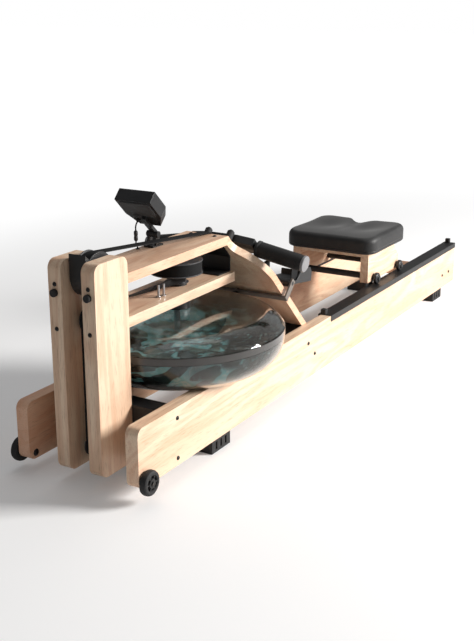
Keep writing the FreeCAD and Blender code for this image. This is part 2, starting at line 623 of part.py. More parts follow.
# The clutch drum: a spool for the pull strap over a smaller spool for the recoil strap.
node("clutch_bearing", turned([(bore, "drum_low"), ("18", "drum_low"), ("18", "drum_high"), (bore, "drum_high")],
                              ("tank_x", "0", "0")))
node("clutch_drum", turned(
    [("18", "drum_low"), (bore, "drum_low"), (bore, "recoil_drum_low"), ("recoil_drum", "recoil_drum_low"),
     ("recoil_drum", "recoil_drum_low + 2"), ("recoil_drum - 6", "recoil_drum_low + 2"),
     ("recoil_drum - 6", "drum_low - 3"), ("drum_radius", "drum_low - 3"), ("drum_radius", "drum_low"),
     ("drum_core", "drum_low"), ("drum_core", "drum_high - 3"), ("drum_radius", "drum_high - 3"),
     ("drum_radius", "drum_high"), ("18", "drum_high")], ("tank_x", "0", "0")))
node("drum_winding", turned(
    [("drum_core", "drum_low"), ("drum_radius - 2", "drum_low"), ("drum_radius - 2", "drum_high - 3"),
     ("drum_core", "drum_high - 3")], ("tank_x", "0", "0")))


# ---- straps -------------------------------------------------------------------------------
def vec(x, y, z):
    return FreeCAD.Vector(number(f"shift + {x}"), number(y), number(z))


def band(points, width):
    """A flat strap: a closed outline in the XZ plane, given breadth across the machine."""
    wire = Part.makePolygon([*points, points[0]])
    face = Part.Face(wire)
    half = number(width) / 2
    face.translate(FreeCAD.Vector(0, -half, 0))
    return face.extrude(FreeCAD.Vector(0, 2 * half, 0))


def thickened(path, thick):
    """The outline of a strap that follows a path, with its thickness on the path's left."""
    left = []
    for index, point in enumerate(path):
        before = path[max(index - 1, 0)]
        after = path[min(index + 1, len(path) - 1)]
        first = (point - before) if index else (after - point)
        second = (after - point) if index < len(path) - 1 else first
        normals = [FreeCAD.Vector(-step.z, 0, step.x).normalize() for step in (first, second)]
        mitre = (normals[0] + normals[1]).normalize()
        left.append(point + mitre * (thick / max(mitre.dot(normals[0]), 0.5)))
    return list(path) + left[::-1]


def around(x, z, radius, start, end, steps):
    """Points round a pulley between two angles, in degrees from +X towards +Z."""
    points = []
    for step in range(steps + 1):
        angle = math.radians(start + (end - start) * step / steps)
        points.append(vec(f"{x} + {radius} * {math.cos(angle)}", "0", f"{z} + {radius} * {math.sin(angle)}"))
    return points


def twisted(start, end, thick, width, turn):
    """A strap that runs straight and turns from lying flat to standing on edge."""
    wires = []
    steps = 6
    along = (end - start).normalize()
    for step in range(steps + 1):
        share = step / steps
        centre = start + (end - start) * share
        spin = FreeCAD.Rotation(along, turn * share)
        side = spin.multVec(Y_AXIS) * (width / 2)
        up = spin.multVec(Z_AXIS) * (thick / 2)
        corners = [centre + side + up, centre - side + up, centre - side - up, centre + side - up]
        wires.append(Part.makePolygon([*corners, corners[0]]))
    return Part.makeLoft(wires, True, True)


def meeting(from_x, radius, side, z):
    """Where a straight run from a pulley on the centre line touches the drum's winding."""
    reach = number(f"tank_x - {from_x}")
    return vec(f"tank_x - {radius ** 2 / reach}",
               f"{side * radius * math.sqrt(1 - (radius / reach) ** 2)}", z)


thick = number("strap_thick")
groove = "(pulley_groove + seat_clearance)"
leave = 84
wrap = around("pulley_x", "pulley_z", groove, 270, leave, 18)
node_shape = band(thickened(wrap, thick), "strap_width")
bottom = f"pulley_z - {groove} - strap_thick / 2"
winding = number("drum_radius - 2 + seat_clearance + strap_thick / 2")
run_out = twisted(vec("pulley_x", "0", f"{bottom} - 0.8"),
                  meeting("pulley_x", winding, 1, "(drum_low + drum_high - 3) / 2"),
                  thick, number("strap_width - 7"), 90)
shaped("pull_strap_return", Part.makeCompound([node_shape, run_out]))

top_point = wrap[-1]
peak = vec("peak_x - 3", "0", "deck_top + 2.5")
below_x, below_z = along_slope("8", "2.5")
hold_x, hold_z = along_slope("handle_along - handle_deep", "handle_above - strap_thick")
hold = vec(hold_x, "0", hold_z)
pull = [top_point, peak, vec(below_x, "0", below_z), hold]
shaped("pull_strap", band(thickened(pull, thick), "strap_width"))

recoil_groove = "(recoil_groove + seat_clearance)"
lower_groove = "(lower_pulley_radius - 4 + seat_clearance)"
over = around("recoil_x", "recoil_z", recoil_groove, 90, 182, 10)
under = around("lower_pulley_x", "lower_pulley_z", lower_groove, 178, 270, 10)
tail = vec("bungee_start - 13", "0", f"lower_pulley_z - {lower_groove}")
descent = band(thickened([*over, *under, tail], -thick), "recoil_strap_width")
recoil_run = twisted(vec("recoil_x", "0", f"recoil_z + {recoil_groove} + strap_thick / 2"),
                     meeting("recoil_x", number("recoil_drum - 3"), -1, "(recoil_drum_low + drum_low - 1) / 2"),
                     thick, number("recoil_strap_width - 2"), -90)
shaped("recoil_strap", Part.makeCompound([descent, recoil_run]))

# The shock cord that rewinds the strap runs back to the footboard's bracket.
cord_z = f"(lower_pulley_z - {lower_groove} - strap_thick / 2)"
cord_end = along_slope("bracket_along - bracket_length / 2", "-board_thick - bracket_depth * 0.8")
node("bungee", fuse(rod("bungee", "bungee_length", ("bungee_start", "0", cord_z), "x"),
                    box(("26", "30", "9"), ("bungee_start - 13", "-15", f"{cord_z} - 4.5"))))

# Two steel pins on the lower deck keep the strap off the drum's edge.
pins = [fuse(rod("3.2", "31", (x, y, "low_deck_top")), rod("6", "3", (x, y, "low_deck_top")))
        for x, y in (("300", "-30"), ("318", "-33"))]
node("strap_guides", group(*pins))

# ---- handle: a flat wooden core between two drooping rubber grips --------------------------
core = board([("-handle_deep", "-48"), ("handle_deep", "-48"), ("grip - 3", "-grip_start + 5"),
              ("3 - grip", "-grip_start + 5")], "handle_thick",
             along_slope_at("handle_along", "handle_above - handle_thick / 2"), role="XY_Plane",
             rotation=SLOPE)
middle = board([("-handle_deep", "-48"), ("handle_deep", "-48"), ("handle_deep", "48"),
                ("-handle_deep", "48")], "handle_thick",
               along_slope_at("handle_along", "handle_above - handle_thick / 2"), role="XY_Plane",
               rotation=SLOPE)
droop = SIZES["grip_droop"]
OUTWARD = FreeCAD.Rotation(X_AXIS, 90 + droop)
grip_run, grip_fall = "cos(grip_droop * 1 deg)", "sin(grip_droop * 1 deg)"


def along_grip(distance):
    """A point on the right grip's axis, so far out from its inner end."""
    return ("handle_x", f"-grip_start - ({distance}) * {grip_run}",
            f"handle_z - grip_drop - ({distance}) * {grip_fall}")


arm = rod("handle_rod", "grip_length + 14", along_grip("-14"), rotation=OUTWARD)
node("handle_core", fuse(middle, core, mirrored(core), arm, mirrored(arm)))
inner = rod("handle_rod + running", "grip_length + 2", along_grip("-1"), rotation=OUTWARD)
grip = cut(rod("grip", "grip_length", along_grip("0"), rotation=OUTWARD), inner)
node("handle_grips", group(grip, mirrored(grip)))
cap = rounded(rod("grip", "cap_length", along_grip("grip_length"), rotation=OUTWARD), "2.5",
              lambda m, d: m.y < -number("grip_start + (grip_length + cap_length) * cos(grip_droop * 1 deg)") + 4
              and abs(m.x - number("shift + handle_x")) > 1 or m.y < -number("grip_start + grip_length + 6"))
node("grip_caps", group(cap, mirrored(cap)))

# ---- seat: a moulded pad on a wooden plate, carried by two boards on four wheels ------------
rear, half, corner = "seat_front + seat_length", "seat_width / 2", "seat_round"
pad = board([(f"seat_front + {corner}", f"-{half}"), (f"{rear} - {corner}", f"-{half}", corner),
             (rear, f"{corner} - {half}"), (rear, "-notch_half", "notch_radius", -1),
             (rear, "notch_half"), (rear, f"{half} - {corner}", corner),
             (f"{rear} - {corner}", half), (f"seat_front + {corner}", half, corner),
             ("seat_front", f"{half} - {corner}"), ("seat_front", f"{corner} - {half}", corner)],
            "seat_thick", ("0", "0", "seat_bottom"), role="XY_Plane")
node("seat_pad", rounded(pad, "seat_edge", lambda m, d: m.z > number("seat_bottom + seat_thick - 1")))
node("seat_plate", box(("carriage_length - carriage_slant", "2 * carriage_half", "seat_bottom - carriage_top"),
                       ("carriage_front", "-carriage_half", "carriage_top")))
WHEELS = {"front": "seat_wheel_front", "rear": "wheel_rear"}
BARS = ["cross_bar_front", "cross_bar_front + cross_bar_spacing"]
carriage_end = "carriage_front + carriage_length"
side_board = board([("carriage_front", "carriage_bottom"), (carriage_end, "carriage_bottom"),
                    (carriage_end, "carriage_top - carriage_slant"),
                    (f"{carriage_end} - carriage_slant", "carriage_top"),
                    ("carriage_front", "carriage_top")],
                   "carriage_thick", ("0", "carriage_half", "0"))
holes = [rod("wheel_bolt", "carriage_thick + 2", (x, "carriage_half - carriage_thick - 1", "wheel_z"), "y")
         for x in WHEELS.values()]
side_board = cut(side_board, *holes)
node("carriage_boards", group(side_board, mirrored(side_board)))
axles = [rod("cross_bar", "2 * (carriage_half - carriage_thick)",
             (x, "carriage_thick - carriage_half", "cross_bar_z"), "y") for x in BARS]
for x in WHEELS.values():
    bolt = fuse(rod("wheel_bolt", "carriage_thick + wheel_gap + seat_wheel_width + 1",
                    (x, "carriage_half - carriage_thick", "wheel_z"), "y"),
                rod("wheel_bolt + 3", "wheel_gap", (x, "carriage_half", "wheel_z"), "y"),
                rod("wheel_bolt + 3", "4", (x, "carriage_half - carriage_thick - 4", "wheel_z"), "y"),
                rod("wheel_bolt + 3", "3", (x, "carriage_half + wheel_gap + seat_wheel_width + 0.6", "wheel_z"), "y"))
    axles += [bolt, mirrored(bolt)]
node("carriage_axles", group(*axles))
for name, x in WHEELS.items():
    wheel = turned([("wheel_bolt + running", "0"), ("9", "0"), ("10", "1.5"), ("seat_wheel - 2.5", "1.5"),
                    ("seat_wheel", "4"), ("seat_wheel", "seat_wheel_width - 4"),
                    ("seat_wheel - 2.5", "seat_wheel_width - 1.5"), ("10", "seat_wheel_width - 1.5"),
                    ("9", "seat_wheel_width"), ("wheel_bolt + running", "seat_wheel_width")],
                   (x, "carriage_half + wheel_gap + seat_clearance", "wheel_z"), "y")
    node(f"seat_wheel_{name}_left", wheel)
    node(f"seat_wheel_{name}_right", mirrored(wheel))
guide = box(("guide_length", "guide_width", "carriage_bottom - guide_bottom"),
            ("carriage_front", "carriage_half - guide_width - 6", "guide_bottom"))
node("seat_guides", group(guide, mirrored(guide)))

# ---- footrest: a steel yoke that slides on the footboard, with two hinged pedals ------------
low = "(-board_thick - yoke_gap - yoke_sheet)"
bar = box(("yoke_width", "2 * yoke_half", "yoke_sheet"),
          along_slope_at("yoke_along - yoke_width / 2", low, "-yoke_half"), SLOPE)
flange = board([("-yoke_width / 2", low), ("yoke_width / 2", low), ("yoke_width / 2", "yoke_reach"),
                ("-yoke_width / 2", "yoke_reach")], "yoke_sheet",
               along_slope_at("yoke_along", "0", "-yoke_half + yoke_sheet"), rotation=SLOPE)
flange = cut(flange, rod("pedal_rod + running", "yoke_sheet + 2", ("pivot_x", "-yoke_half - 1", "pedal_z"), "y"))
thread = rod("wheel_bolt", "yoke_sheet + 2", along_slope_at("yoke_along", f"{low} - 1"), rotation=SLOPE)
node("footrest_yoke", cut(fuse(bar, flange, mirrored(flange)), thread))
stem = rod("wheel_bolt - running", "yoke_gap + yoke_sheet + 6 - seat_clearance",
           along_slope_at("yoke_along", f"{low} - 6"), rotation=SLOPE)
grab = rod("knob", "18", along_slope_at("yoke_along", f"{low} - 24"), rotation=SLOPE)
node("footrest_knob", fuse(stem, grab))

TILT = FreeCAD.Rotation(Y_AXIS, SIZES["pedal_tilt"])
pedal_in = "(yoke_half - yoke_sheet - 2 - pedal_width)"


def on_pedal(along, above, y):
    """A place on the pedals, along them from their rod and above it."""
    lean, rise = "cos(pedal_tilt * 1 deg)", "sin(pedal_tilt * 1 deg)"
    return (f"pivot_x + ({along}) * {lean} + ({above}) * {rise}", y,
            f"pedal_z - ({along}) * {rise} + ({above}) * {lean}")


half_rod = rod("pedal_rod", "2 * yoke_half", ("pivot_x", "-yoke_half", "pedal_z"), "y")
sole = box(("pedal_length", "pedal_width", "pedal_thick"),
           on_pedal("0", "-pedal_thick / 2", pedal_in), TILT)
boss = rod("pedal_rod + 5", "pedal_width", ("pivot_x", pedal_in, "pedal_z"), "y")
cheek = board([("pedal_length - cheek_length - 40", "0"), ("pedal_length", "0"),
               ("pedal_length", "cheek_height * 0.6"), ("pedal_length - 12", "cheek_height"),
               ("pedal_length - cheek_length", "cheek_height")], "5",
              ("pivot_x", f"{pedal_in} + pedal_width", "pedal_z"), rotation=TILT)
heel = box(("6", "pedal_width", "cheek_height * 0.6"), on_pedal("pedal_length - 6", "0", pedal_in), TILT)
pedal = fuse(sole, boss, cheek, heel)
node("pedals", fuse(half_rod, pedal, mirrored(pedal)))
loop_top = "cheek_height + 24"
loop = board([(f"{pedal_in}", "pedal_thick / 2"), (f"{pedal_in}", f"{loop_top} - 14"),
              (f"{pedal_in} + 20", loop_top), (f"{pedal_in} + pedal_width - 26", loop_top),
              (f"{pedal_in} + pedal_width - 5.5", f"{loop_top} - 14"),
              (f"{pedal_in} + pedal_width - 5.5", "pedal_thick / 2"),
              (f"{pedal_in} + pedal_width - 5.5 - toe_strap_thick", "pedal_thick / 2"),
              (f"{pedal_in} + pedal_width - 5.5 - toe_strap_thick", f"{loop_top} - 15"),
              (f"{pedal_in} + pedal_width - 27", f"{loop_top} - toe_strap_thick"),
              (f"{pedal_in} + 21", f"{loop_top} - toe_strap_thick"),
              (f"{pedal_in} + toe_strap_thick", f"{loop_top} - 15"),
              (f"{pedal_in} + toe_strap_thick", "pedal_thick / 2")],
             "toe_strap", on_pedal("pedal_rod + 8", "0", "0"), role="YZ_Plane", rotation=TILT)
node("toe_straps", group(loop, mirrored(loop)))

# ---- monitor on a pivoting arm, and its lead -------------------------------------------------
LEAN = FreeCAD.Rotation(Y_AXIS, -SIZES["monitor_tilt"])
lean_run, lean_rise = "cos(monitor_tilt * 1 deg)", "sin(monitor_tilt * 1 deg)"


def on_monitor(up, out, y="monitor_y"):
    """A place on the monitor: up it from the pivot, and out from its back towards the rower."""
    return (f"monitor_x + ({out}) * {lean_run} - ({up}) * {lean_rise}", y,
            f"pivot_z + ({out}) * {lean_rise} + ({up}) * {lean_run}")


face = [(f"-monitor_low_width / 2", "monitor_rise"), ("monitor_low_width / 2", "monitor_rise"),
        ("monitor_top_width / 2", "monitor_rise + monitor_height * 0.4"),
        ("monitor_top_width / 2", "monitor_rise + monitor_height"),
        ("-monitor_top_width / 2", "monitor_rise + monitor_height"),
        ("-monitor_top_width / 2", "monitor_rise + monitor_height * 0.4")]
case = board(face, "monitor_thick", on_monitor("0", "monitor_offset"), role="YZ_Plane", rotation=LEAN)
window = box(("screen_thick + 1", "monitor_top_width - 2 * bezel", "monitor_height * 0.5"),
             on_monitor("monitor_rise + monitor_height * 0.4", "monitor_offset + monitor_thick - screen_thick",
                        "monitor_y - monitor_top_width / 2 + bezel"), LEAN)
screen = box(("screen_thick", "monitor_top_width - 2 * bezel", "monitor_height * 0.5"),
             on_monitor("monitor_rise + monitor_height * 0.4", "monitor_offset + monitor_thick - screen_thick",
                        "monitor_y - monitor_top_width / 2 + bezel"), LEAN)
node("monitor_case", cut(case, window))
node("monitor_screen", screen)
hub = rod("monitor_arm / 2", "monitor_arm", ("monitor_x", "monitor_y - monitor_arm / 2", "pivot_z"), "y")
stalk = box(("monitor_arm / 2", "monitor_arm", "monitor_rise + 40"),
            on_monitor("0", "monitor_offset - monitor_arm / 2", "monitor_y - monitor_arm / 2"), LEAN)
pin_hole = rod("monitor_pin + running", "monitor_arm + 2", ("monitor_x", "monitor_y - monitor_arm / 2 - 1", "pivot_z"), "y")
node("monitor_arm", cut(fuse(hub, stalk), pin_hole))
ears = []
for side in (1, -1):
    start = f"monitor_y + {side} * (monitor_arm / 2 + seat_clearance + ear / 2) - ear / 2"
    ears += [box(("16", "ear", "pivot_z - deck_top"), ("monitor_x - 8", start, "deck_top")),
             rod("8", "ear", ("monitor_x", start, "pivot_z"), "y")]
foot = box(("44", "monitor_arm + 2 * ear + 2", "4"), ("monitor_x - 22", "monitor_y - monitor_arm / 2 - ear - 1", "deck_top"))
bolt = fuse(rod("monitor_pin", "monitor_arm + 2 * ear + 6", ("monitor_x", "monitor_y - monitor_arm / 2 - ear - 3", "pivot_z"), "y"),
            rod("monitor_pin + 4", "3", ("monitor_x", "monitor_y - monitor_arm / 2 - ear - 3.5", "pivot_z"), "y"),
            rod("monitor_pin + 4", "3", ("monitor_x", "monitor_y + monitor_arm / 2 + ear + 0.7", "pivot_z"), "y"))
node("monitor_base", fuse(foot, *ears, bolt))


def tube(points, radius):
    """A round lead along straight runs joined by tangent arcs."""
    edges, start, lengths = [], points[0], []
    runs = [(b - a).Length for a, b in zip(points, points[1:])]
    for index in range(1, len(points) - 1):
        back = (points[index - 1] - points[index]).normalize()
        on = (points[index + 1] - points[index]).normalize()
        turn = math.pi - back.getAngle(on)
        reach = 0.45 * min(runs[index - 1], runs[index])
        bend = reach / math.tan(turn / 2)
        print("lead bend radius", round(bend, 1))
        enter, leave = points[index] + back * reach, points[index] + on * reach
        axis = (back + on).normalize()
        middle = points[index] + axis * (bend / math.cos(turn / 2) - bend)
        edges += [Part.LineSegment(start, enter).toShape(), Part.Arc(enter, middle, leave).toShape()]
        start = leave
    edges.append(Part.LineSegment(start, points[-1]).toShape())
    path = Part.Wire(edges)
    ring = Part.Wire(Part.Circle(points[0], points[1] - points[0], radius).toShape())
    made = path.makePipeShell([ring], True, False)
    print("lead volume over section times length", round(made.Volume / (math.pi * radius ** 2 * path.Length), 4))
    return made


# The lead leaves a plug in the monitor's back, hangs through an in-line connector and goes
# down to a grommet in the deck.
PLUG_UP = "monitor_rise + monitor_height / 2 - 20"
plug_start = vec(*on_monitor(PLUG_UP, "monitor_offset", "lead_y"))
plug_end = vec(*on_monitor(PLUG_UP, "monitor_offset - plug_length", "lead_y"))
lead_high = [plug_end, vec(*on_monitor(PLUG_UP, "monitor_offset - plug_length - 8", "lead_y")),
             vec("333.5", "lead_y", "543"), vec("333.5", "lead_y", "535")]
lead_low = [vec("333.5", "lead_y", "509"), vec("333.5", "lead_y", "501"),
            vec("337", "lead_y - 2", "495.5"), vec("337", "lead_y - 2", "deck_top + 2")]
shaped("monitor_cable", Part.makeCompound([tube(lead_high, number("cable")),
                                           tube(lead_low, number("cable"))]))


def barrel(start, end):
    """A round plug body from one point to another."""
    return Part.makeCylinder(number("plug"), (end - start).Length, start, end - start)


shaped("cable_plugs", Part.makeCompound([
    barrel(plug_start, plug_end), barrel(lead_high[-1], lead_low[0]),
    barrel(lead_low[-1], vec("337", "lead_y - 2", "deck_top"))]))

# ---- checks and files --------------------------------------------------------------------------
doc.recompute()
failed = [item.Label for item in doc.Objects if {"Invalid", "Error"} & set(item.State)]
for label, item in nodes.items():
    if item.Label != label or item.Shape.isNull() or not item.Shape.isValid():
        failed.append(label)
if failed:
    raise RuntimeError(f"these objects failed: {failed}")
for label, item in nodes.items():
    item.Shape.exportStep(f"parts/{label}.step")
print(f"{len(nodes)} nodes written")
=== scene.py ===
import json
import math

import bmesh
import bpy
from mathutils import Matrix, Vector, noise

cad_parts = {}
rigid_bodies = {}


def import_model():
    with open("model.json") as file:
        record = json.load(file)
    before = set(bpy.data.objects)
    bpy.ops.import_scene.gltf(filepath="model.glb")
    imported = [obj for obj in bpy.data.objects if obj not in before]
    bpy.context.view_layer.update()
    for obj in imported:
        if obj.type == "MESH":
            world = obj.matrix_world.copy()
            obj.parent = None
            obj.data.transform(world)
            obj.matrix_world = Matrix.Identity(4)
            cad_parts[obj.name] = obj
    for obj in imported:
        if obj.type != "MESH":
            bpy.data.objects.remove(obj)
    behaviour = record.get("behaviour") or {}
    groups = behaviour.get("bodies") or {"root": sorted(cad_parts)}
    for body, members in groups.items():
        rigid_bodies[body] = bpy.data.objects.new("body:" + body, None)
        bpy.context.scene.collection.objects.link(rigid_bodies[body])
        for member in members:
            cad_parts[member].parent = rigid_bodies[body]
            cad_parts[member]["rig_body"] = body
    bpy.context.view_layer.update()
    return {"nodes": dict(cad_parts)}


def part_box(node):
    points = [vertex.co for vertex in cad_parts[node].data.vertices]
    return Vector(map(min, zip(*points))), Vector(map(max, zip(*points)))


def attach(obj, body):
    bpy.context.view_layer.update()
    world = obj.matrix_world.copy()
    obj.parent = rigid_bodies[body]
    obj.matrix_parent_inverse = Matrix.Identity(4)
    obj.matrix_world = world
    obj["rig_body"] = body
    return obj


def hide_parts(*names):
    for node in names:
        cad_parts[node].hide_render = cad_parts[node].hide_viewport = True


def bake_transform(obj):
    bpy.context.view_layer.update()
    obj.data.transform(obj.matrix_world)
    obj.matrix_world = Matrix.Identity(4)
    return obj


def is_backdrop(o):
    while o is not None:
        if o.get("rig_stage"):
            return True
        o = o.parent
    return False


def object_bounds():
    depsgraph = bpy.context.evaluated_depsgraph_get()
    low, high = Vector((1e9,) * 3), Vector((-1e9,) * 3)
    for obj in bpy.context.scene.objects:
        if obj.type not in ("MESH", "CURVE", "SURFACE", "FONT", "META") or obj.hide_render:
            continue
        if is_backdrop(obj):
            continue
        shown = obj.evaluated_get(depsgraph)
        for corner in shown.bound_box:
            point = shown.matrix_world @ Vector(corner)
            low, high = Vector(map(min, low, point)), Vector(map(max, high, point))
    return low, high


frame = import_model()
nodes = frame["nodes"]

# ---- where it stands: a plain pale floor and soft studio light ---------------------------
# The key light stands low on the right-hand side and towards the seat's end, so the right-hand
# faces are bright, the tops a little less and the front edges lie in soft shade.
MM = 0.001
scene = bpy.context.scene
scene.view_settings.view_transform = "Standard"


def view_matrix(place, forward, up):
    back = -Vector(forward).normalized()
    right = Vector(up).cross(back).normalized()
    top = back.cross(right)
    turn = Matrix((right, top, back)).transposed().to_4x4()
    return Matrix.Translation(Vector(place)) @ turn


camera = bpy.data.objects.new("camera", bpy.data.cameras.new("camera"))
camera.data.lens = 58.4
camera.data.sensor_width = 36
camera.data.clip_end = 60
camera.matrix_world = view_matrix((-2.74136, -1.40636, 1.07503), (0.82642, 0.47930, -0.29548), (0, 0, 1))
scene.collection.objects.link(camera)
scene.camera = camera


def lamp(name, place, target, size, power, colour=(1, 1, 1)):
    light = bpy.data.lights.new(name, "AREA")
    light.shape = "RECTANGLE"
    light.size, light.size_y = size
    light.energy = power
    light.color = colour
    item = bpy.data.objects.new(name, light)
    item.matrix_world = view_matrix(place, Vector(target) - Vector(place), (0, 0, 1))
    scene.collection.objects.link(item)


lamp("key_light", (1.9, -4.2, 2.2), (0, 0, 0.2), (1.6, 1.4), 470, (1.0, 0.985, 0.96))
lamp("top_light", (0.2, 0.6, 3.8), (0, 0, 0.2), (2.6, 2.0), 18)
world = bpy.data.worlds.new("studio")
world.use_nodes = True
sky = world.node_tree.nodes["Background"]
sky.inputs["Color"].default_value = (1, 1, 1, 1)
rays = world.node_tree.nodes.new("ShaderNodeLightPath")
bright = world.node_tree.nodes.new("ShaderNodeMath")
bright.operation = "MAXIMUM"
shown = world.node_tree.nodes.new("ShaderNodeMapRange")
world.node_tree.links.new(rays.outputs["Is Camera Ray"], bright.inputs[0])
world.node_tree.links.new(rays.outputs["Is Transmission Ray"], bright.inputs[1])
world.node_tree.links.new(bright.outputs[0], shown.inputs["Value"])
shown.inputs["To Min"].default_value = 0.20
shown.inputs["To Max"].default_value = 1.0
world.node_tree.links.new(shown.outputs["Result"], sky.inputs["Strength"])
scene.world = world


class Term:
    """A socket of a material, so that shader maths reads as plain Python."""

    def __init__(self, finish, socket):
        self.finish = finish
        self.socket = socket

    def __add__(self, other):
        return self.finish.maths("ADD", self, other)

    def __radd__(self, other):
        return self.finish.maths("ADD", other, self)

    def __sub__(self, other):
        return self.finish.maths("SUBTRACT", self, other)

    def __rsub__(self, other):
        return self.finish.maths("SUBTRACT", other, self)

    def __mul__(self, other):
        return self.finish.maths("MULTIPLY", self, other)

    def __rmul__(self, other):
        return self.finish.maths("MULTIPLY", other, self)

    def sine(self):
        return self.finish.maths("SINE", self)

    def over(self, low, high):
        """0 below low, 1 above high, and smooth between."""
        return self.finish.add("ShaderNodeMapRange", {"interpolation_type": "SMOOTHSTEP"},
                               {"Value": self, "From Min": low, "From Max": high}, "Result")


class Finish:
    """A material: its shader's constant sockets, and the nodes that vary over the surface."""

    def __init__(self, name, **constants):
        self.material = bpy.data.materials.new(name)
        self.material.use_nodes = True
        self.tree = self.material.node_tree
        self.shader = self.tree.nodes["Principled BSDF"]
        for socket, value in constants.items():
            self.shader.inputs[socket.replace("_", " ")].default_value = value

    def add(self, kind, settings, values, output=0):
        made = self.tree.nodes.new(kind)
        for key, value in settings.items():
            setattr(made, key, value)
        for key, value in values.items():
            if isinstance(value, Term):
                self.tree.links.new(value.socket, made.inputs[key])
            else:
                made.inputs[key].default_value = value
        return Term(self, made.outputs[output])

    def maths(self, operation, *terms):
        return self.add("ShaderNodeMath", {"operation": operation}, dict(enumerate(terms)))

    def place(self, stretch=(1, 1, 1)):
        """Where a point is on its piece, in metres, stretched along each axis."""
        spot = self.add("ShaderNodeTexCoord", {}, {}, "Object")
        return self.add("ShaderNodeVectorMath", {"operation": "MULTIPLY"}, {0: spot, 1: stretch})

    def grain(self, place, scale, detail=3.0, rough=0.5, twist=0.0):
        return self.add("ShaderNodeTexNoise", {}, {
            "Vector": place, "Scale": scale, "Detail": detail, "Roughness": rough,
            "Distortion": twist}, "Fac")

    def split(self, spot):
        """The X, Y and Z of a vector."""
        first = self.add("ShaderNodeSeparateXYZ", {}, {0: spot}, 0)
        return first, *[Term(self, first.socket.node.outputs[k]) for k in (1, 2)]

    def mix(self, factor, first, second):
        return self.add("ShaderNodeMix", {"data_type": "RGBA"}, {0: factor, 6: first, 7: second}, 2)

    def put(self, **links):
        for socket, term in links.items():
            self.tree.links.new(term.socket, self.shader.inputs[socket.replace("_", " ")])
        return self

    def bump(self, height, strength, distance):
        relief = self.add("ShaderNodeBump", {}, {"Height": height, "Strength": strength,
                                                 "Distance": distance}, "Normal")
        return self.put(Normal=relief)


def tone(red, green, blue):
    """A display colour, 0 to 255, as a shader's colour."""
    values = [part / 255 for part in (red, green, blue)]
    return (*[v / 12.92 if v < 0.04045 else ((v + 0.055) / 1.055) ** 2.4 for v in values], 1)


floor_mesh = bpy.data.meshes.new("floor")
floor_mesh.from_pydata([(-30, -30, 0), (30, -30, 0), (30, 30, 0), (-30, 30, 0)], [], [(0, 1, 2, 3)])
floor = bpy.data.objects.new("floor", floor_mesh)
scene.collection.objects.link(floor)
paper = Finish("studio_floor", Roughness=0.9, Base_Color=tone(252, 252, 253))
offset = paper.add("ShaderNodeVectorMath", {"operation": "LENGTH"}, {0: paper.place((0.72, 1, 1))}, "Value")
seen = paper.add("ShaderNodeLightPath", {}, {}, "Is Camera Ray")
glow = paper.add("ShaderNodeEmission", {}, {"Strength": 0.25 + 0.77 * seen}, "Emission")
blend = paper.add("ShaderNodeMixShader", {}, {
    0: 0.12 + 0.88 * offset.over(0.85, 2.6), 1: Term(paper, paper.shader.outputs["BSDF"]), 2: glow}, "Shader")
paper.tree.links.new(blend.socket, paper.tree.nodes["Material Output"].inputs["Surface"])
floor.data.materials.append(paper.material)
floor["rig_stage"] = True

# ---- rails: two long ash boards on edge --------------------------------------------------
# Each is planed from pale ash glued up from strips, with eased edges and a satin lacquer.
# They are bolted to the cross members, and their outer faces are plain.
WOOD_PALE, WOOD_WARM = tone(234, 206, 178), tone(206, 158, 124)
WOOD_DARK, WOOD_PEACH = tone(146, 104, 78), tone(224, 160, 124)
EASE = 1.6 * MM


def wood(name, along, seed=0.0):
    """Ash: growth bands and pores that run along the board's X, Y or Z."""
    finish = Finish(name, Coat_Weight=0.25, Coat_Roughness=0.25)
    run = {"x": (1.0, 9, 9), "y": (9, 1.0, 9), "z": (9, 9, 1.0)}[along]
    fine = tuple(part * (6 if part > 1 else 3) for part in run)
    spot = finish.add("ShaderNodeVectorMath", {"operation": "ADD"},
                      {0: finish.place(run), 1: (seed, seed * 0.7, seed * 1.3)})
    wander = finish.grain(spot, 1.1, 2.0, 0.5, 0.6)
    bands = ((wander * 46).sine() * 0.5 + 0.5).over(0.1, 0.95)
    patch = finish.grain(spot, 0.55, 1.5, 0.5, 0.3).over(0.45, 0.72)
    pores = finish.grain(finish.place(fine), 9.0, 4.0, 0.62)
    streak = finish.grain(finish.place(fine), 1.6, 3.0, 0.55).over(0.5, 0.75)
    body = finish.mix(bands * 0.42 + streak * 0.30, WOOD_PALE, WOOD_WARM)
    body = finish.mix(patch * 0.6, body, WOOD_PEACH)
    body = finish.mix(pores.over(0.52, 0.70) * 0.5, body, WOOD_DARK)
    finish.put(Base_Color=body, Roughness=0.36 + pores * 0.22)
    return finish.bump(pores * 0.6 + bands * 0.25, 0.22, 0.6 * MM).material


def mesh_of(node):
    """A copy of a node's mesh with its corners joined and its flat faces whole."""
    work = bmesh.new()
    work.from_mesh(nodes[node].data)
    bmesh.ops.remove_doubles(work, verts=work.verts, dist=2e-6)
    bmesh.ops.dissolve_limit(work, angle_limit=math.radians(0.6), verts=work.verts, edges=work.edges)
    return work


def loose(name, work, material, angle):
    """Turns worked geometry into a smooth piece with no body yet, sharp where it turns past the angle."""
    mesh = bpy.data.meshes.new(name)
    bmesh.ops.recalc_face_normals(work, faces=work.faces)
    work.to_mesh(mesh)
    work.free()
    piece = bpy.data.objects.new(name, mesh)
    scene.collection.objects.link(piece)
    mesh.materials.append(material)
    mesh.polygons.foreach_set("use_smooth", [True] * len(mesh.polygons))
    mesh.set_sharp_from_angle(angle=math.radians(angle))
    return piece


def finished(name, work, body, material, angle=32):
    """Turns worked geometry into a piece that rides on a body."""
    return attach(loose(name, work, material, angle), body)


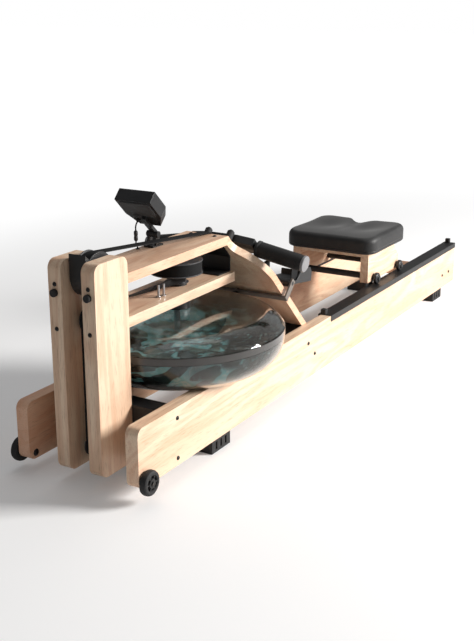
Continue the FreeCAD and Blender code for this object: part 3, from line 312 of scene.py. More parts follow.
def bevelled(piece, width, segments=2, angle=35):
    """Rounds a piece's sharp edges and keeps the result in its mesh."""
    ease = piece.modifiers.new("ease", "BEVEL")
    ease.width = width
    ease.segments = segments
    ease.limit_method = "ANGLE"
    ease.angle_limit = math.radians(angle)
    ease.harden_normals = True
    bpy.context.view_layer.objects.active = piece
    with bpy.context.temp_override(object=piece, active_object=piece, selected_objects=[piece]):
        bpy.ops.object.modifier_apply(modifier=ease.name)
    return piece


def eased(node, material, width=EASE, body=None):
    """The node's own shape with softened edges, shown in its place."""
    body = body or nodes[node]["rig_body"]
    piece = finished(f"{node}_eased", mesh_of(node), body, material)
    bevelled(piece, width)
    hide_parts(node)
    return piece


rail_wood = [wood("rail_wood_right", "x", 0.0), wood("rail_wood_left", "x", 4.1)]
eased("rail_right", rail_wood[0])
eased("rail_left", rail_wood[1])

# ---- seat tracks: folded steel caps on the rails -----------------------------------------
# Sheet steel with a satin black powder coat, folded over the top of each rail where the seat rolls.


def coated(name, shade, rough=0.42, texture=0.12, scale=900):
    """Painted or moulded black surfaces: a fine even texture and a little uneven gloss."""
    finish = Finish(name, Specular_IOR_Level=0.45)
    speck = finish.grain(finish.place(), scale, 2.0)
    cloud = finish.grain(finish.place(), 14.0, 3.0)
    lift = tuple(min(1.0, part * 1.9 + 0.004) for part in shade[:3]) + (1,)
    finish.put(Base_Color=finish.mix(cloud.over(0.4, 0.75) * 0.5 + speck * 0.15, shade, lift),
               Roughness=rough + cloud * 0.14 + speck * 0.05)
    return finish.bump(speck, texture, 0.25 * MM).material


steel_black = coated("steel_black", tone(24, 24, 25), 0.34)
eased("seat_tracks", steel_black, 0.6 * MM)

# ---- feet and stops: moulded rubber ------------------------------------------------------
# Four ribbed rubber blocks screwed under the rails, a stop at each end of both tracks, and two
# round bumpers on the posts for standing the machine on end.
rubber_black = coated("rubber_black", tone(30, 30, 31), 0.62, 0.2, 600)
eased("feet", rubber_black, 1.2 * MM)
eased("rubber_stops", rubber_black, 1.0 * MM)

# ---- transport wheels: moulded wheels on shouldered bolts --------------------------------
# A hard rubber tyre on a ribbed plastic hub, turning outside the front end of each rail.
plastic_black = coated("plastic_black", tone(28, 28, 29), 0.38, 0.1, 1200)
WHEEL_PROFILE = [(0.0052, 0.0), (0.013, 0.0), (0.013, 0.0025), (0.0165, 0.0035), (0.0185, 0.0015),
                 (0.0255, 0.0015), (0.0285, 0.0035), (0.030, 0.0075), (0.030, 0.0145),
                 (0.0285, 0.0185), (0.0255, 0.0205), (0.0200, 0.0205), (0.0185, 0.0190),
                 (0.0175, 0.0150), (0.0120, 0.0150), (0.0110, 0.0205), (0.0052, 0.0205)]


def lathe(work, profile, place, axis, steps=72, closed=True):
    """Spins a profile of radius and height about an axis through a place."""
    axis = Vector(axis).normalized()
    side = axis.orthogonal().normalized()
    across = axis.cross(side)
    rings = []
    for step in range(steps):
        angle = 2 * math.pi * step / steps
        out = side * math.cos(angle) + across * math.sin(angle)
        rings.append([work.verts.new(Vector(place) + out * r + axis * z) for r, z in profile])
    last = len(profile) if closed else len(profile) - 1
    for step in range(steps):
        here, there = rings[step], rings[(step + 1) % steps]
        for index in range(last):
            after = (index + 1) % len(profile)
            corners = [here[index], here[after], there[after], there[index]]
            if profile[index][0] < 1e-6:
                corners = [here[index], here[after], there[after]]
            elif profile[after][0] < 1e-6:
                corners = [here[index], here[after], there[index]]
            work.faces.new(corners)
    if any(r < 1e-6 for r, z in profile):
        bmesh.ops.remove_doubles(work, verts=work.verts, dist=1e-7)
    return work


def solid_disc(radius, height, round_over):
    """A disc's profile with a rounded outer edge."""
    arc = [(radius - round_over * (1 - math.sin(a)), height - round_over * (1 - math.cos(a)))
           for a in (math.pi / 2, math.pi / 3, math.pi / 6, 0)]
    return [(0, 0), (radius, 0), *arc, (0, height)]


for side, sign in (("left", 1), ("right", -1)):
    low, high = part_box(f"transport_wheel_{side}")
    middle = (low + high) / 2
    inner = low.y if sign > 0 else high.y
    work = lathe(bmesh.new(), WHEEL_PROFILE, (middle.x, inner, middle.z), (0, sign, 0))
    for spoke in range(6):
        angle = spoke * math.pi / 3
        rib = Matrix.Translation((middle.x + 0.0145 * math.cos(angle), inner + sign * 0.0165,
                                  middle.z + 0.0145 * math.sin(angle)))
        rib = rib @ Matrix.Rotation(-angle, 4, "Y") @ Matrix.Diagonal((0.009, 0.006, 0.0028, 1))
        bmesh.ops.create_cube(work, size=1, matrix=rib)
    wheel = finished(f"transport_tyre_{side}", work, f"transport_wheel_{side}", rubber_black)
    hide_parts(f"transport_wheel_{side}")

# ---- posts: two upright ash boards between the rails -------------------------------------
# They stand just inside the front of the rails with the pulleys between them, and are bolted
# to the decks and to the front cross member.
post_wood = [wood("post_wood_right", "z", 2.3), wood("post_wood_left", "z", 6.7)]
eased("post_right", post_wood[0])
eased("post_left", post_wood[1])

# ---- decks and footboard: the ash frame over the tank ------------------------------------
# The top deck is mitred to the sloping footboard, whose shoulders sweep out to the rails.
# The lower deck carries the shaft's housing.
eased("top_deck", wood("top_deck_wood", "x", 8.9))
eased("lower_deck", wood("lower_deck_wood", "x", 11.2))
board_wood = wood("footboard_wood", "x", 13.6)
eased("footboard", board_wood)
eased("rear_cross_bar", wood("cross_bar_wood", "y", 3.1))

# ---- cross members: folded sheet steel ---------------------------------------------------
# Black powder-coated channels and a folded plate that tie the rails, posts, decks and the
# footboard together.
for node in ("front_cross_member", "footboard_bracket", "deck_bracket"):
    eased(node, steel_black, 0.8 * MM)

# ---- bolts: black button heads with hexagon sockets --------------------------------------
# Machine screws through the rails, posts and decks, with oxide-blackened heads.
bolt_finish = coated("bolt_black", tone(20, 20, 21), 0.26, 0.05, 2000)


def loose_parts(node):
    """The vertices of each separate solid in a node."""
    work = bmesh.new()
    work.from_mesh(nodes[node].data)
    bmesh.ops.remove_doubles(work, verts=work.verts, dist=2e-6)
    seen, parts = set(), []
    for start in work.verts:
        if start.index in seen:
            continue
        stack, part = [start], []
        seen.add(start.index)
        while stack:
            vert = stack.pop()
            part.append(vert.co.copy())
            for edge in vert.link_edges:
                other = edge.other_vert(vert)
                if other.index not in seen:
                    seen.add(other.index)
                    stack.append(other)
        parts.append(part)
    work.free()
    return parts


def span(part):
    low = Vector([min(v[k] for v in part) for k in range(3)])
    high = Vector([max(v[k] for v in part) for k in range(3)])
    return low, high


def socket_head(radius, height):
    """A button head: a domed top with a socket sunk in it."""
    rise = [(radius * math.sin(a), height * math.cos(a)) for a in (1.45, 1.2, 0.95, 0.7, 0.5)]
    return [(0, 0), (radius, 0), *rise, (radius * 0.42, height * 0.9), (radius * 0.38, height * 0.35),
            (0, height * 0.3)]


def bolt_heads(node, name, body, profile_of):
    """A head on each solid of the node, at its wide end, and a plain shank behind it."""
    work = bmesh.new()
    for part in loose_parts(node):
        low, high = span(part)
        sizes = high - low
        axis = max(range(3), key=lambda k: sizes[k])
        middle = (low + high) / 2
        radii = []
        for end in (low[axis], high[axis]):
            near = [v for v in part if abs(v[axis] - end) < 1e-5]
            radii.append(max(math.hypot(*[v[k] - middle[k] for k in range(3) if k != axis]) for v in near))
        sign = 1 if radii[1] >= radii[0] else -1
        radius, shank = max(radii), min(radii)
        direction = Vector([sign if k == axis else 0 for k in range(3)])
        tip = middle + direction * sizes[axis] / 2
        height = 3.6 * MM if radius < 0.008 else 4 * MM
        lathe(work, profile_of(radius, height), tip - direction * height, direction, 36)
        lathe(work, [(0, 0), (shank, 0), (shank, sizes[axis] - height), (0, sizes[axis] - height)],
              middle - direction * sizes[axis] / 2, direction, 20)
    piece = finished(name, work, body, bolt_finish, 40)
    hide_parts(node)
    return piece


bolt_heads("frame_bolts", "socket_bolts", "frame", socket_head)

# ---- pulleys: three grooved sheaves between the posts ------------------------------------
# Glass-filled nylon wheels with worn grooves, on steel axles let into the posts
# under wooden plugs; a moulded guard wraps the face of the top one.
groove_black = coated("groove_black", tone(34, 34, 36), 0.3, 0.08, 1500)
eased("front_pulley", groove_black, 0.8 * MM)
eased("recoil_pulley", groove_black, 0.6 * MM)
eased("lower_pulley", groove_black, 0.6 * MM)
eased("pulley_guard", plastic_black, 0.8 * MM)


def metal(name, shade, rough):
    """Bare metal: brushed and a little unevenly polished."""
    finish = Finish(name, Metallic=1.0)
    scuff = finish.grain(finish.place((1, 6, 1)), 160.0, 3.0)
    finish.put(Base_Color=finish.mix(scuff, shade, tuple(part * 0.72 for part in shade[:3]) + (1,)),
               Roughness=rough + scuff * 0.16)
    return finish.bump(scuff, 0.08, 0.15 * MM).material


pin_metal = metal("pin_metal", tone(196, 196, 198), 0.22)
axles = eased("pulley_axles", pin_metal, 0.4 * MM)
axles.data.materials.append(post_wood[0])
for face in axles.data.polygons:
    if abs(face.center.y) > 0.061:
        face.material_index = 1

# ---- handle pegs: two rollers on the footboard -------------------------------------------
# Turned black rubber rollers on screws with bright heads. The handle parks behind them.
eased("handle_pegs", rubber_black, 1.0 * MM)

# ---- tank: two clear bowls bonded at a dark seam -----------------------------------------
# Smoked polycarbonate, vacuum-formed, 5 mm thick. The lower bowl rests between the rails and
# the dome is screwed to the shaft's housing.
TANK = (-0.621, 0.0, 0.0)
WALL = 5 * MM
BOWL_EDGE, BOWL_FLOOR = (0.276, 0.262), (0.217, 0.181)
DOME_EDGE, DOME_SHOULDER, DOME_TOP = (0.276, 0.281), (0.222, 0.316), (0.012, 0.327)
BOWL_ROUND, DOME_ROUND = 0.085, 0.072


def arc(start, end, radius, steps=10, inward=0.0):
    """Points on an arc that bulges to the right of its direction."""
    a, b = Vector(start), Vector(end)
    chord = b - a
    left = Vector((-chord.y, chord.x)).normalized()
    centre = (a + b) / 2 + left * math.sqrt(radius ** 2 - chord.length ** 2 / 4)
    first = math.atan2(*(a - centre).yx)
    last = math.atan2(*(b - centre).yx)
    if last < first:
        last += 2 * math.pi
    turns = [first + (last - first) * k / steps for k in range(steps + 1)]
    reach = radius - inward
    return [(centre.x + reach * math.cos(t), centre.y + reach * math.sin(t)) for t in turns]


def clear_plastic(name, tint, rough=0.025):
    finish = Finish(name, Transmission_Weight=1.0, IOR=1.46, Base_Color=tint)
    haze = finish.grain(finish.place(), 30.0, 2.0)
    finish.put(Roughness=haze * 0.05 + rough)
    return finish.material


smoke = clear_plastic("smoked_clear", tone(204, 206, 204))
bowl = [(0, BOWL_FLOOR[1]), *arc(BOWL_FLOOR, BOWL_EDGE, BOWL_ROUND, 16),
        *reversed(arc(BOWL_FLOOR, BOWL_EDGE, BOWL_ROUND, 16, WALL)), (0, BOWL_FLOOR[1] + WALL)]
lower_bowl = finished("lower_bowl", lathe(bmesh.new(), bowl, TANK, (0, 0, 1), 144), "frame", smoke)
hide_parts("tank_lower")
dome_inner = list(reversed(arc(DOME_EDGE, DOME_SHOULDER, DOME_ROUND, 12, WALL)))
dome = [DOME_EDGE, *arc(DOME_EDGE, DOME_SHOULDER, DOME_ROUND, 12)[1:], DOME_TOP,
        (DOME_TOP[0], DOME_TOP[1] - WALL), *dome_inner, (DOME_EDGE[0] - WALL, DOME_EDGE[1])]
dome_piece = finished("dome", lathe(bmesh.new(), dome, TANK, (0, 0, 1), 144), "frame", smoke)
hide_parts("tank_upper")

band = Finish("seam_band", Roughness=0.22, Coat_Weight=0.6, Specular_IOR_Level=0.5)
cloud = band.grain(band.place(), 22.0, 3.0)
band.put(Base_Color=band.mix(cloud, tone(44, 43, 42), tone(72, 69, 66)))
rim = finished("seam_ring", lathe(bmesh.new(), [
    (0.2708, 0.262), (0.2752, 0.2618), (0.2766, 0.2632), (0.2766, 0.2798), (0.2752, 0.2812), (0.2708, 0.281)],
    TANK, (0, 0, 1), 144), "frame", band.material)
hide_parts("tank_rim")

# ---- water: about 17 litres, thrown into waves by the paddle -----------------------------
# It is heaped against the dome on the far side, and stands clear of the paddle's sweep.
WATER_EDGE = 0.2690
HEAP = (-0.5, 0.865)
STILL = 0.268


def under_dome(radius):
    """How high the water can reach at a distance from the shaft."""
    if radius > 0.2214:
        return 0.2445 + math.sqrt(max(0.0, 0.067 ** 2 - (radius - 0.214) ** 2)) - 0.002
    return 0.311 + (0.2214 - radius) * 0.05 - 0.002


def wave(x, y):
    """The water's height at a place measured from the shaft."""
    radius = math.hypot(x, y)
    heap = min(1.0, max(0.0, ((HEAP[0] * x + HEAP[1] * y) / WATER_EDGE + 0.5) / 1.3))
    swirl = Vector((x * 13 + 3.2, y * 13, 0.4))
    rough = noise.fractal(swirl, 0.9, 2.1, 4) * (0.008 + 0.014 * heap)
    rise = 0.024 * heap * heap * min(1.0, radius / 0.2) + rough
    return max(0.2612, min(STILL - 0.002 + rise, under_dome(radius)))


work = bmesh.new()
RINGS, SPOKES = 64, 168
radii = [0.011 + (WATER_EDGE - 0.011) * k / RINGS for k in range(RINGS + 1)]
inner = arc(BOWL_FLOOR, BOWL_EDGE, BOWL_ROUND, 8, WALL + 0.0012)
profile_tail = [(r, z) for r, z in reversed(inner)] + [(0.190, 0.1872), (0.196, 0.1990), (0.196, 0.2585),
                                                         (0.011, 0.2585)]
columns = []
for spoke in range(SPOKES):
    angle = 2 * math.pi * spoke / SPOKES
    c, s = math.cos(angle), math.sin(angle)
    column = [work.verts.new((TANK[0] + r * c, r * s, wave(r * c, r * s))) for r in radii]
    column += [work.verts.new((TANK[0] + r * c, r * s, z)) for r, z in profile_tail]
    columns.append(column)
for spoke in range(SPOKES):
    here, there = columns[spoke], columns[(spoke + 1) % SPOKES]
    for k in range(len(here)):
        after = (k + 1) % len(here)
        work.faces.new([here[k], here[after], there[after], there[k]])
water = Finish("agitated_water", IOR=1.33, Coat_Weight=0.7, Coat_Roughness=0.03)
spot = water.place()
churn = water.grain(spot, 4.2, 1.6, 0.45, 1.8)
flow = water.grain(water.place((1, 1, 1.6)), 6.2, 2.4, 0.5, 2.6)
fleck = water.grain(spot, 46.0, 3.0, 0.6, 2.0)
shade = water.mix(churn.over(0.38, 0.58), tone(20, 38, 44), tone(88, 112, 108))
# Painted highlights: the pale cyan bands, and the near-white patches, which are foam and painted highlights
# together.
shade = water.mix(flow.over(0.50, 0.54), shade, tone(150, 222, 226))
shade = water.mix((flow * 0.6 + fleck * 0.4).over(0.56, 0.61), shade, tone(220, 246, 246))
shade = water.mix(churn.over(0.58, 0.62) * 0.75, shade, tone(126, 138, 126))
back, across, _ = water.split(spot)
heaped = ((across * HEAP[1] - (back - TANK[0]) * -HEAP[0]) + (churn - 0.5) * 0.6).over(-0.16, -0.08)
# On the calm side the cyan flecks are painted glints of light in the water.
calm = water.mix(fleck.over(0.60, 0.66) * 0.6, water.mix(churn, tone(44, 44, 44), tone(86, 84, 80)),
                 tone(120, 190, 196))
shade = water.mix(heaped, calm, shade)
water.put(Base_Color=shade, Roughness=fleck * 0.16 + 0.03)
water.bump(flow * 0.7 + fleck * 0.4, 0.5, 4 * MM)
water_piece = finished("water_waves", work, "frame", water.material, 60)
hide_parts("water")

# ---- paddle, shaft and bearings ----------------------------------------------------------
# Six moulded blades on a stainless shaft that runs up through the dome to a sealed housing and
# a flange under the top deck.
eased("paddle", plastic_black, 0.5 * MM)
eased("rotor_shaft", pin_metal, 0.3 * MM)
eased("shaft_bearings", steel_black, 0.8 * MM)

# ---- clutch drum: two stacked spools on a one-way bearing --------------------------------
# Turned aluminium painted grey. The pull strap winds on the upper spool and the recoil strap
# on the lower one.
drum_grey = coated("drum_grey", tone(62, 62, 64), 0.36, 0.08, 1200)
eased("clutch_bearing", pin_metal, 0.3 * MM)
eased("clutch_drum", drum_grey, 0.8 * MM)


THREADS = 1400


def woven(name, shade):
    """Flat nylon webbing: a tight twill with a slight sheen."""
    finish = Finish(name, Specular_IOR_Level=0.18)
    along, wide, rise = finish.split(finish.place((THREADS, THREADS, THREADS)))
    weave = (along + wide).sine() * (wide - along + rise).sine()
    fuzz = finish.grain(finish.place(), 700.0, 3.0)
    lift = tuple(min(1.0, part * 2.1 + 0.006) for part in shade[:3]) + (1,)
    finish.put(Base_Color=finish.mix(fuzz * 0.6 + weave * 0.15, shade, lift), Roughness=0.72 + fuzz * 0.15)
    return finish.bump(weave * 0.5 + fuzz * 0.5, 0.3, 0.3 * MM).material


webbing = woven("webbing", tone(19, 19, 20))
eased("drum_winding", webbing, 0.3 * MM)
eased("pull_strap_return", webbing, 0.25 * MM)
eased("recoil_strap", webbing, 0.25 * MM)
eased("strap_guides", pin_metal, 0.6 * MM)

# ---- pull strap: webbing from the front pulley to the handle -----------------------------
# One length of 27 mm strap. It lies over the peak of the footboard and is paid out as the
# handle is drawn towards the seat.
work = mesh_of("pull_strap")
STRAP_ROWS, ROW_START, ROW_PITCH = 9, -0.478, 0.008
for step in range(STRAP_ROWS):
    cut_at = (ROW_START + ROW_PITCH * step, 0, 0)
    bmesh.ops.bisect_plane(work, geom=work.verts[:] + work.edges[:] + work.faces[:], plane_co=cut_at,
                           plane_no=(1, 0, 0))
mesh = bpy.data.meshes.new("strap_run")
bmesh.ops.recalc_face_normals(work, faces=work.faces)
work.to_mesh(mesh)
work.free()
strap = bpy.data.objects.new("strap_run", mesh)
scene.collection.objects.link(strap)
mesh.materials.append(webbing)
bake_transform(strap)
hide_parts("pull_strap")

# ---- shock cord: it rewinds the strap ----------------------------------------------------
# Braided elastic cord under the tank, from the recoil strap's clamp back to the footboard's
# bracket.
eased("bungee", woven("cord_braid", tone(30, 30, 32)), 0.3 * MM)

# ---- handle: a flat core between two drooping grips --------------------------------------
# The core is a flat dark plate with a rod at each end. Ribbed rubber grips slide on the rods and
# are closed by pressed grey caps.
eased("handle_core", steel_black, 1.2 * MM)
grip_rubber = coated("grip_rubber", tone(27, 27, 28), 0.55, 0.35, 420)
DROOP = math.radians(9.8)
GRIP_X, GRIP_START, GRIP_Z = -0.386, 0.103, 0.4416
for side, sign in (("left", 1), ("right", -1)):
    outward = Vector((0, sign * math.cos(DROOP), -math.sin(DROOP)))
    profile = [(0.0112, 0.0), (0.0205, 0.0), (0.0232, 0.0015), (0.0232, 0.0075), (0.0212, 0.0095)]
    for ridge in range(24):
        start = 0.012 + ridge * 0.0050
        profile += [(0.0216, start), (0.0220, start + 0.0008), (0.0220, start + 0.0038),
                    (0.0216, start + 0.0046)]
    profile += [(0.0218, 0.1345), (0.0205, 0.1375), (0.0112, 0.1375)]
    inner_end = (GRIP_X, sign * GRIP_START, GRIP_Z)
    grip = finished(f"grip_{side}", lathe(bmesh.new(), profile, inner_end, outward, 64),
                    "handle", grip_rubber, 50)
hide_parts("handle_grips")
eased("grip_caps", coated("cap_grey", tone(120, 120, 122), 0.34, 0.06, 1600), 1.2 * MM)

# ---- footrest: a sliding yoke, its clamp knob and two hinged pedals ----------------------
# The yoke is bent from grey-painted bar and slides on the footboard; the knob locks it. The
# pedals are moulded soles on one rod, with raised heel cheeks.
yoke_grey = coated("yoke_grey", tone(106, 98, 92), 0.4, 0.06, 900)
eased("footrest_yoke", yoke_grey, 0.6 * MM)
eased("footrest_knob", plastic_black, 0.8 * MM)
eased("pedals", plastic_black, 1.2 * MM)

# ---- toe straps: webbing loops over the pedals -------------------------------------------
# 36 mm polyester webbing, sewn in a loop with enough stiffness to stand open, and a little
# uneven where it bends.
for index, side in ((0, "right"), (1, "left")):
    part = [p for p in loose_parts("toe_straps") if (span(p)[0].y > 0) == (side == "left")][0]
    work = mesh_of("toe_straps")
    gone = [v for v in work.verts if (v.co.y > 0) != (side == "left")]
    bmesh.ops.delete(work, geom=gone, context="VERTS")
    low, high = span(part)
    for step in range(1, 16):
        for normal, spread in (((0, 1, 0), high.y - low.y), ((0, 0, 1), high.z - low.z)):
            start = low.y if normal[1] else low.z
            at = (0, start + spread * step / 16, 0) if normal[1] else (0, 0, start + spread * step / 16)
            bmesh.ops.bisect_plane(work, geom=work.verts[:] + work.edges[:] + work.faces[:], plane_co=at,
                                   plane_no=normal)
    for v in work.verts:
        lift = (v.co.z - low.z) / (high.z - low.z)
        v.co.x += 0.0022 * lift * noise.noise(Vector((v.co.y * 26, v.co.z * 22, index * 3.7)))
        v.co.y += 0.0012 * lift * noise.noise(Vector((v.co.z * 31, v.co.x * 40, 5.1 + index)))
    loop = finished(f"toe_loop_{side}", work, "pedals", webbing, 60)
    if index:
        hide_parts("toe_straps")

# ---- seat carriage: two ash boards, two steel bars and a plywood plate -------------------
# The boards stand inside the tracks on four grooved wheels, and small guides keep them from
# lifting off.
carriage_wood = wood("carriage_wood", "x", 17.2)
eased("carriage_boards", carriage_wood)
eased("seat_plate", wood("plate_wood", "x", 19.9), 1.0 * MM)
eased("carriage_axles", steel_black, 0.5 * MM)
eased("seat_guides", plastic_black, 0.8 * MM)
for end in ("front", "rear"):
    for side in ("left", "right"):
        eased(f"seat_wheel_{end}_{side}", groove_black, 0.8 * MM)

# ---- seat pad: moulded foam with two hollows and a notch at the back ---------------------
# Self-skinned polyurethane foam on the plate, soft-edged, with a shallow hollow each side and
# a raised back.
low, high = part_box("seat_pad")
cad_pad = nodes["seat_pad"]
middle = Vector(((low.x + high.x) / 2 - 0.01, 0, (low.z + high.z) / 2 - 0.006))
SEAT_SPOKES = 180
reach = []
for spoke in range(SEAT_SPOKES):
    angle = 2 * math.pi * spoke / SEAT_SPOKES
    direction = Vector((math.cos(angle), math.sin(angle), 0))
    struck, place, _, _ = cad_pad.ray_cast(middle + direction * 0.6, -direction)
    reach.append((place - middle).length if struck else 0.15)
reach = [(reach[k - 2] + 2 * reach[k - 1] + 3 * reach[k] + 2 * reach[(k + 1) % SEAT_SPOKES]
          + reach[(k + 2) % SEAT_SPOKES]) / 9 for k in range(SEAT_SPOKES)]
TOP_ROUND, LOW_ROUND = 0.019, 0.008


def pad_height(x, y):
    """The pad's top: hollows for the sitting bones, a rise at the back and a rounded front."""
    hollow = sum(math.exp(-((x - 0.452) / 0.075) ** 2 - ((y - s * 0.062) / 0.052) ** 2) for s in (1, -1))
    front = max(0.0, (0.34 - x) / 0.07)
    crest = math.exp(-((x - 0.452) / 0.10) ** 2 - (y / 0.018) ** 2)
    channel = max(0.0, (x - 0.47) / 0.1) * math.exp(-(y / 0.020) ** 2)
    return high.z - 0.0015 - 0.0110 * min(1.0, hollow) - 0.006 * front ** 2 - 0.002 * crest - 0.008 * channel


work = bmesh.new()
rings = []
steps = [0.06 + 0.94 * k / 16 for k in range(17)]
for spoke in range(SEAT_SPOKES):
    angle = 2 * math.pi * spoke / SEAT_SPOKES
    direction = Vector((math.cos(angle), math.sin(angle), 0))
    edge = reach[spoke]
    column = []
    for s in steps:
        spot = middle + direction * (edge - TOP_ROUND) * s
        column.append((spot.x, spot.y, pad_height(spot.x, spot.y)))
    crown = column[-1][2]
    for k in range(1, 7):
        turn = math.pi / 2 * k / 6
        spot = middle + direction * (edge - TOP_ROUND + TOP_ROUND * math.sin(turn))
        column.append((spot.x, spot.y, crown - TOP_ROUND * (1 - math.cos(turn))))
    for share in (0.35, 0.7, 0.86, 0.9, 0.94):
        tuck = 0.0012 if share == 0.9 else 0.0
        spot = middle + direction * (edge - tuck)
        z = crown - TOP_ROUND - (crown - TOP_ROUND - low.z - LOW_ROUND) * share
        column.append((spot.x, spot.y, z))
    for k in range(0, 5):
        turn = math.pi / 2 * k / 4
        spot = middle + direction * (edge - LOW_ROUND + LOW_ROUND * math.cos(turn))
        column.append((spot.x, spot.y, low.z + LOW_ROUND - LOW_ROUND * math.sin(turn)))
    for s in (0.7, 0.4, 0.06):
        spot = middle + direction * (edge - LOW_ROUND) * s
        column.append((spot.x, spot.y, low.z))
    rings.append([work.verts.new(place) for place in column])
for spoke in range(SEAT_SPOKES):
    here, there = rings[spoke], rings[(spoke + 1) % SEAT_SPOKES]
    for k in range(len(here) - 1):
        work.faces.new([here[k], here[k + 1], there[k + 1], there[k]])
work.faces.new([ring[0] for ring in rings])
work.faces.new([ring[-1] for ring in reversed(rings)])
foam = Finish("moulded_foam", Specular_IOR_Level=0.4, Sheen_Weight=0.12)
pebble = foam.add("ShaderNodeTexVoronoi", {"feature": "SMOOTH_F1"},
                  {"Vector": foam.place(), "Scale": 520.0}, "Distance")
soft = foam.grain(foam.place(), 11.0, 3.0)
foam.put(Base_Color=foam.mix(soft.over(0.4, 0.7), tone(22, 22, 23), tone(34, 34, 35)),
         Roughness=0.44 + soft * 0.18)
foam.bump(pebble + soft * 0.6, 0.25, 0.5 * MM)
pad = finished("foam_pad", work, "seat", foam.material, 80)
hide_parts("seat_pad")

# ---- monitor: a moulded case on a pivoting arm -------------------------------------------
# Black ABS. Its back has a recessed panel with a round boss for the lead's socket and a screw
# at each corner; the screen is dark glass.
PIVOT = Vector((-0.661, 0.040, 0.519))
LEAN = math.radians(46.6)
CASE_LOW, CASE_HIGH, CASE_BACK = 0.0248, 0.1288, 0.0099
monitor_black = coated("monitor_black", tone(26, 26, 28), 0.3, 0.06, 1400)


def on_case(across, up, out):
    """A place on the monitor, from its pivot: across it, up it and out from its back."""
    return PIVOT + Vector((out * math.cos(LEAN) - up * math.sin(LEAN), across,
                           out * math.sin(LEAN) + up * math.cos(LEAN)))


OUT = on_case(0, 0, 1) - PIVOT
eased("monitor_case", monitor_black, 4.0 * MM)
eased("monitor_arm", plastic_black, 1.0 * MM)
eased("monitor_base", steel_black, 0.6 * MM)
work = bmesh.new()


def panel(work, corners, depth, top):
    """A flat plate with given corners across and up the case, standing off its back."""
    outer = [work.verts.new(on_case(a, u, CASE_BACK + 0.0006)) for a, u in corners]
    face = [work.verts.new(on_case(a * top, CASE_LOW + 0.052 + (u - CASE_LOW - 0.052) * top,
                                   CASE_BACK - depth)) for a, u in corners]
    count = len(corners)
    for k in range(count):
        work.faces.new([outer[k], outer[(k + 1) % count], face[(k + 1) % count], face[k]])
    work.faces.new(face)
    work.faces.new(list(reversed(outer)))


panel(work, [(-0.040, 0.068), (0.040, 0.068), (0.044, 0.078), (0.044, 0.118), (0.040, 0.122),
             (-0.040, 0.122), (-0.044, 0.118), (-0.044, 0.078)], 0.0022, 0.97)
lathe(work, [(0, 0.0), (0.0165, 0.0), (0.0165, 0.003), (0.0145, 0.0062), (0.0115, 0.0072), (0.0105, 0.0052),
             (0, 0.0052)], on_case(0.016, 0.0568, CASE_BACK), -OUT, 48)
for a, u in ((-0.046, 0.1235), (0.046, 0.1235), (-0.026, 0.034), (0.026, 0.034)):
    lathe(work, [(0.0018, 0), (0.0034, 0), (0.0034, 0.0006), (0.0028, 0.001), (0.0018, 0.001)],
          on_case(a, u, CASE_BACK), -OUT, 24)
# The back panel, its boss and its screw heads are coloured mid grey, lighter than the black case: this grey
# is painted light on the back of the case.
back_panel = finished("monitor_back", work, "monitor", coated("monitor_back", tone(58, 58, 59), 0.42), 30)
glass = Finish("screen_glass", Coat_Weight=1.0, Coat_Roughness=0.04)
smear = glass.grain(glass.place(), 40.0, 3.0)
glass.put(Base_Color=glass.mix(smear, tone(14, 16, 18), tone(24, 27, 30)), Roughness=0.08 + smear * 0.1)
eased("monitor_screen", glass.material, 0.3 * MM)

# ---- monitor lead: a thin cable with an in-line connector --------------------------------
# It leaves a plug in the case's back, hangs to the in-line connector and goes through a
# grommet in the deck.
LEAD = 1.8 * MM
JOINT, GROMMET = (-0.7125, 0.056, 0.5090), (-0.7090, 0.054, 0.4884)
PLUG_UP, PLUG_LENGTH = 0.0568, 0.013
PLUG_OUT = on_case(0.016, PLUG_UP, CASE_BACK - PLUG_LENGTH)


def smooth(points):
    """Points evenly along a curve that passes through the given ones."""
    places = [Vector(spot) for spot in points]
    line = []
    for k in range(len(places) - 1):
        before, after = places[max(0, k - 1)], places[min(len(places) - 1, k + 2)]
        a, b = places[k], places[k + 1]
        for step in range(12):
            t = step / 12
            line.append(0.5 * (2 * a + (b - before) * t + (2 * before - 5 * a + 4 * b - after) * t * t
                               + (3 * a - before - 3 * b + after) * t ** 3))
    line.append(places[-1])
    return line


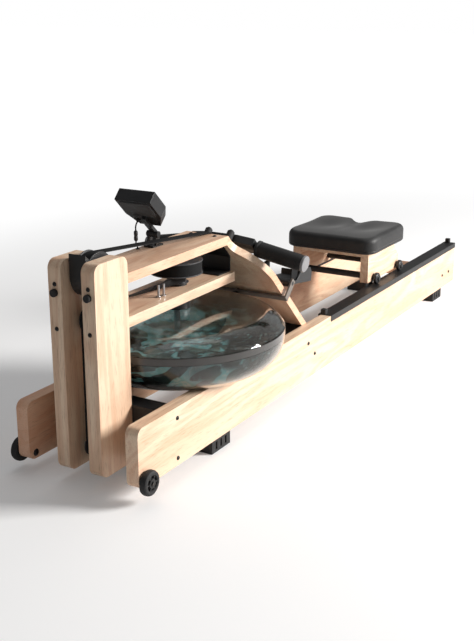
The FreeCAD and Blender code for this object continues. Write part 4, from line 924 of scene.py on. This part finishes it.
def swept(work, line, radius, sides=20):
    """A closed round tube along a line of points."""
    rings = []
    for k, spot in enumerate(line):
        ahead = (line[min(k + 1, len(line) - 1)] - line[max(k - 1, 0)]).normalized()
        side = ahead.cross(Vector((0, 1, 0))).normalized()
        across = ahead.cross(side)
        rings.append([work.verts.new(spot + radius * (side * math.cos(t) + across * math.sin(t)))
                      for t in [2 * math.pi * n / sides for n in range(sides)]])
    for here, there in zip(rings, rings[1:]):
        for n in range(sides):
            work.faces.new([here[n], here[(n + 1) % sides], there[(n + 1) % sides], there[n]])
    work.faces.new(list(reversed(rings[0])))
    work.faces.new(rings[-1])
    return work


lead_line = smooth([PLUG_OUT, (-0.7099, 0.056, 0.5500), (-0.7125, 0.056, 0.5430), (-0.7125, 0.056, 0.5350),
                    (-0.7125, 0.056, 0.5220), JOINT, (-0.7125, 0.056, 0.5010),
                    (-0.7098, 0.0545, 0.4955), GROMMET])
lead_length = sum((b - a).length for a, b in zip(lead_line, lead_line[1:]))
joint_line = [(0, 0), (0.0030, 0), (0.0050, 0.0030), (0.0050, 0.0105), (0.0044, 0.0115), (0.0044, 0.0145),
              (0.0050, 0.0155), (0.0050, 0.0230), (0.0030, 0.0260), (0, 0.0260)]
connector = loose("lead_connector", lathe(bmesh.new(), joint_line, JOINT, (0, 0, 1), 32), plastic_black, 40)
grommet = finished("lead_grommet", lathe(bmesh.new(), [
    (LEAD, 0), (0.0055, 0), (0.0055, 0.0008), (0.0035, 0.0022), (LEAD, 0.0024)],
    GROMMET, (0, 0, 1), 32), "frame", rubber_black)
plug = finished("lead_plug", lathe(bmesh.new(), [
    (0, 0), (0.0030, 0), (0.0046, 0.0030), (0.0046, 0.0130), (0, 0.0130)], PLUG_OUT, OUT, 32),
    "monitor", rubber_black)
lead = loose("monitor_lead", swept(bmesh.new(), lead_line, LEAD), rubber_black, 40)
for piece in (lead, connector):
    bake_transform(piece)
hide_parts("monitor_cable")
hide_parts("cable_plugs")

low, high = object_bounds()
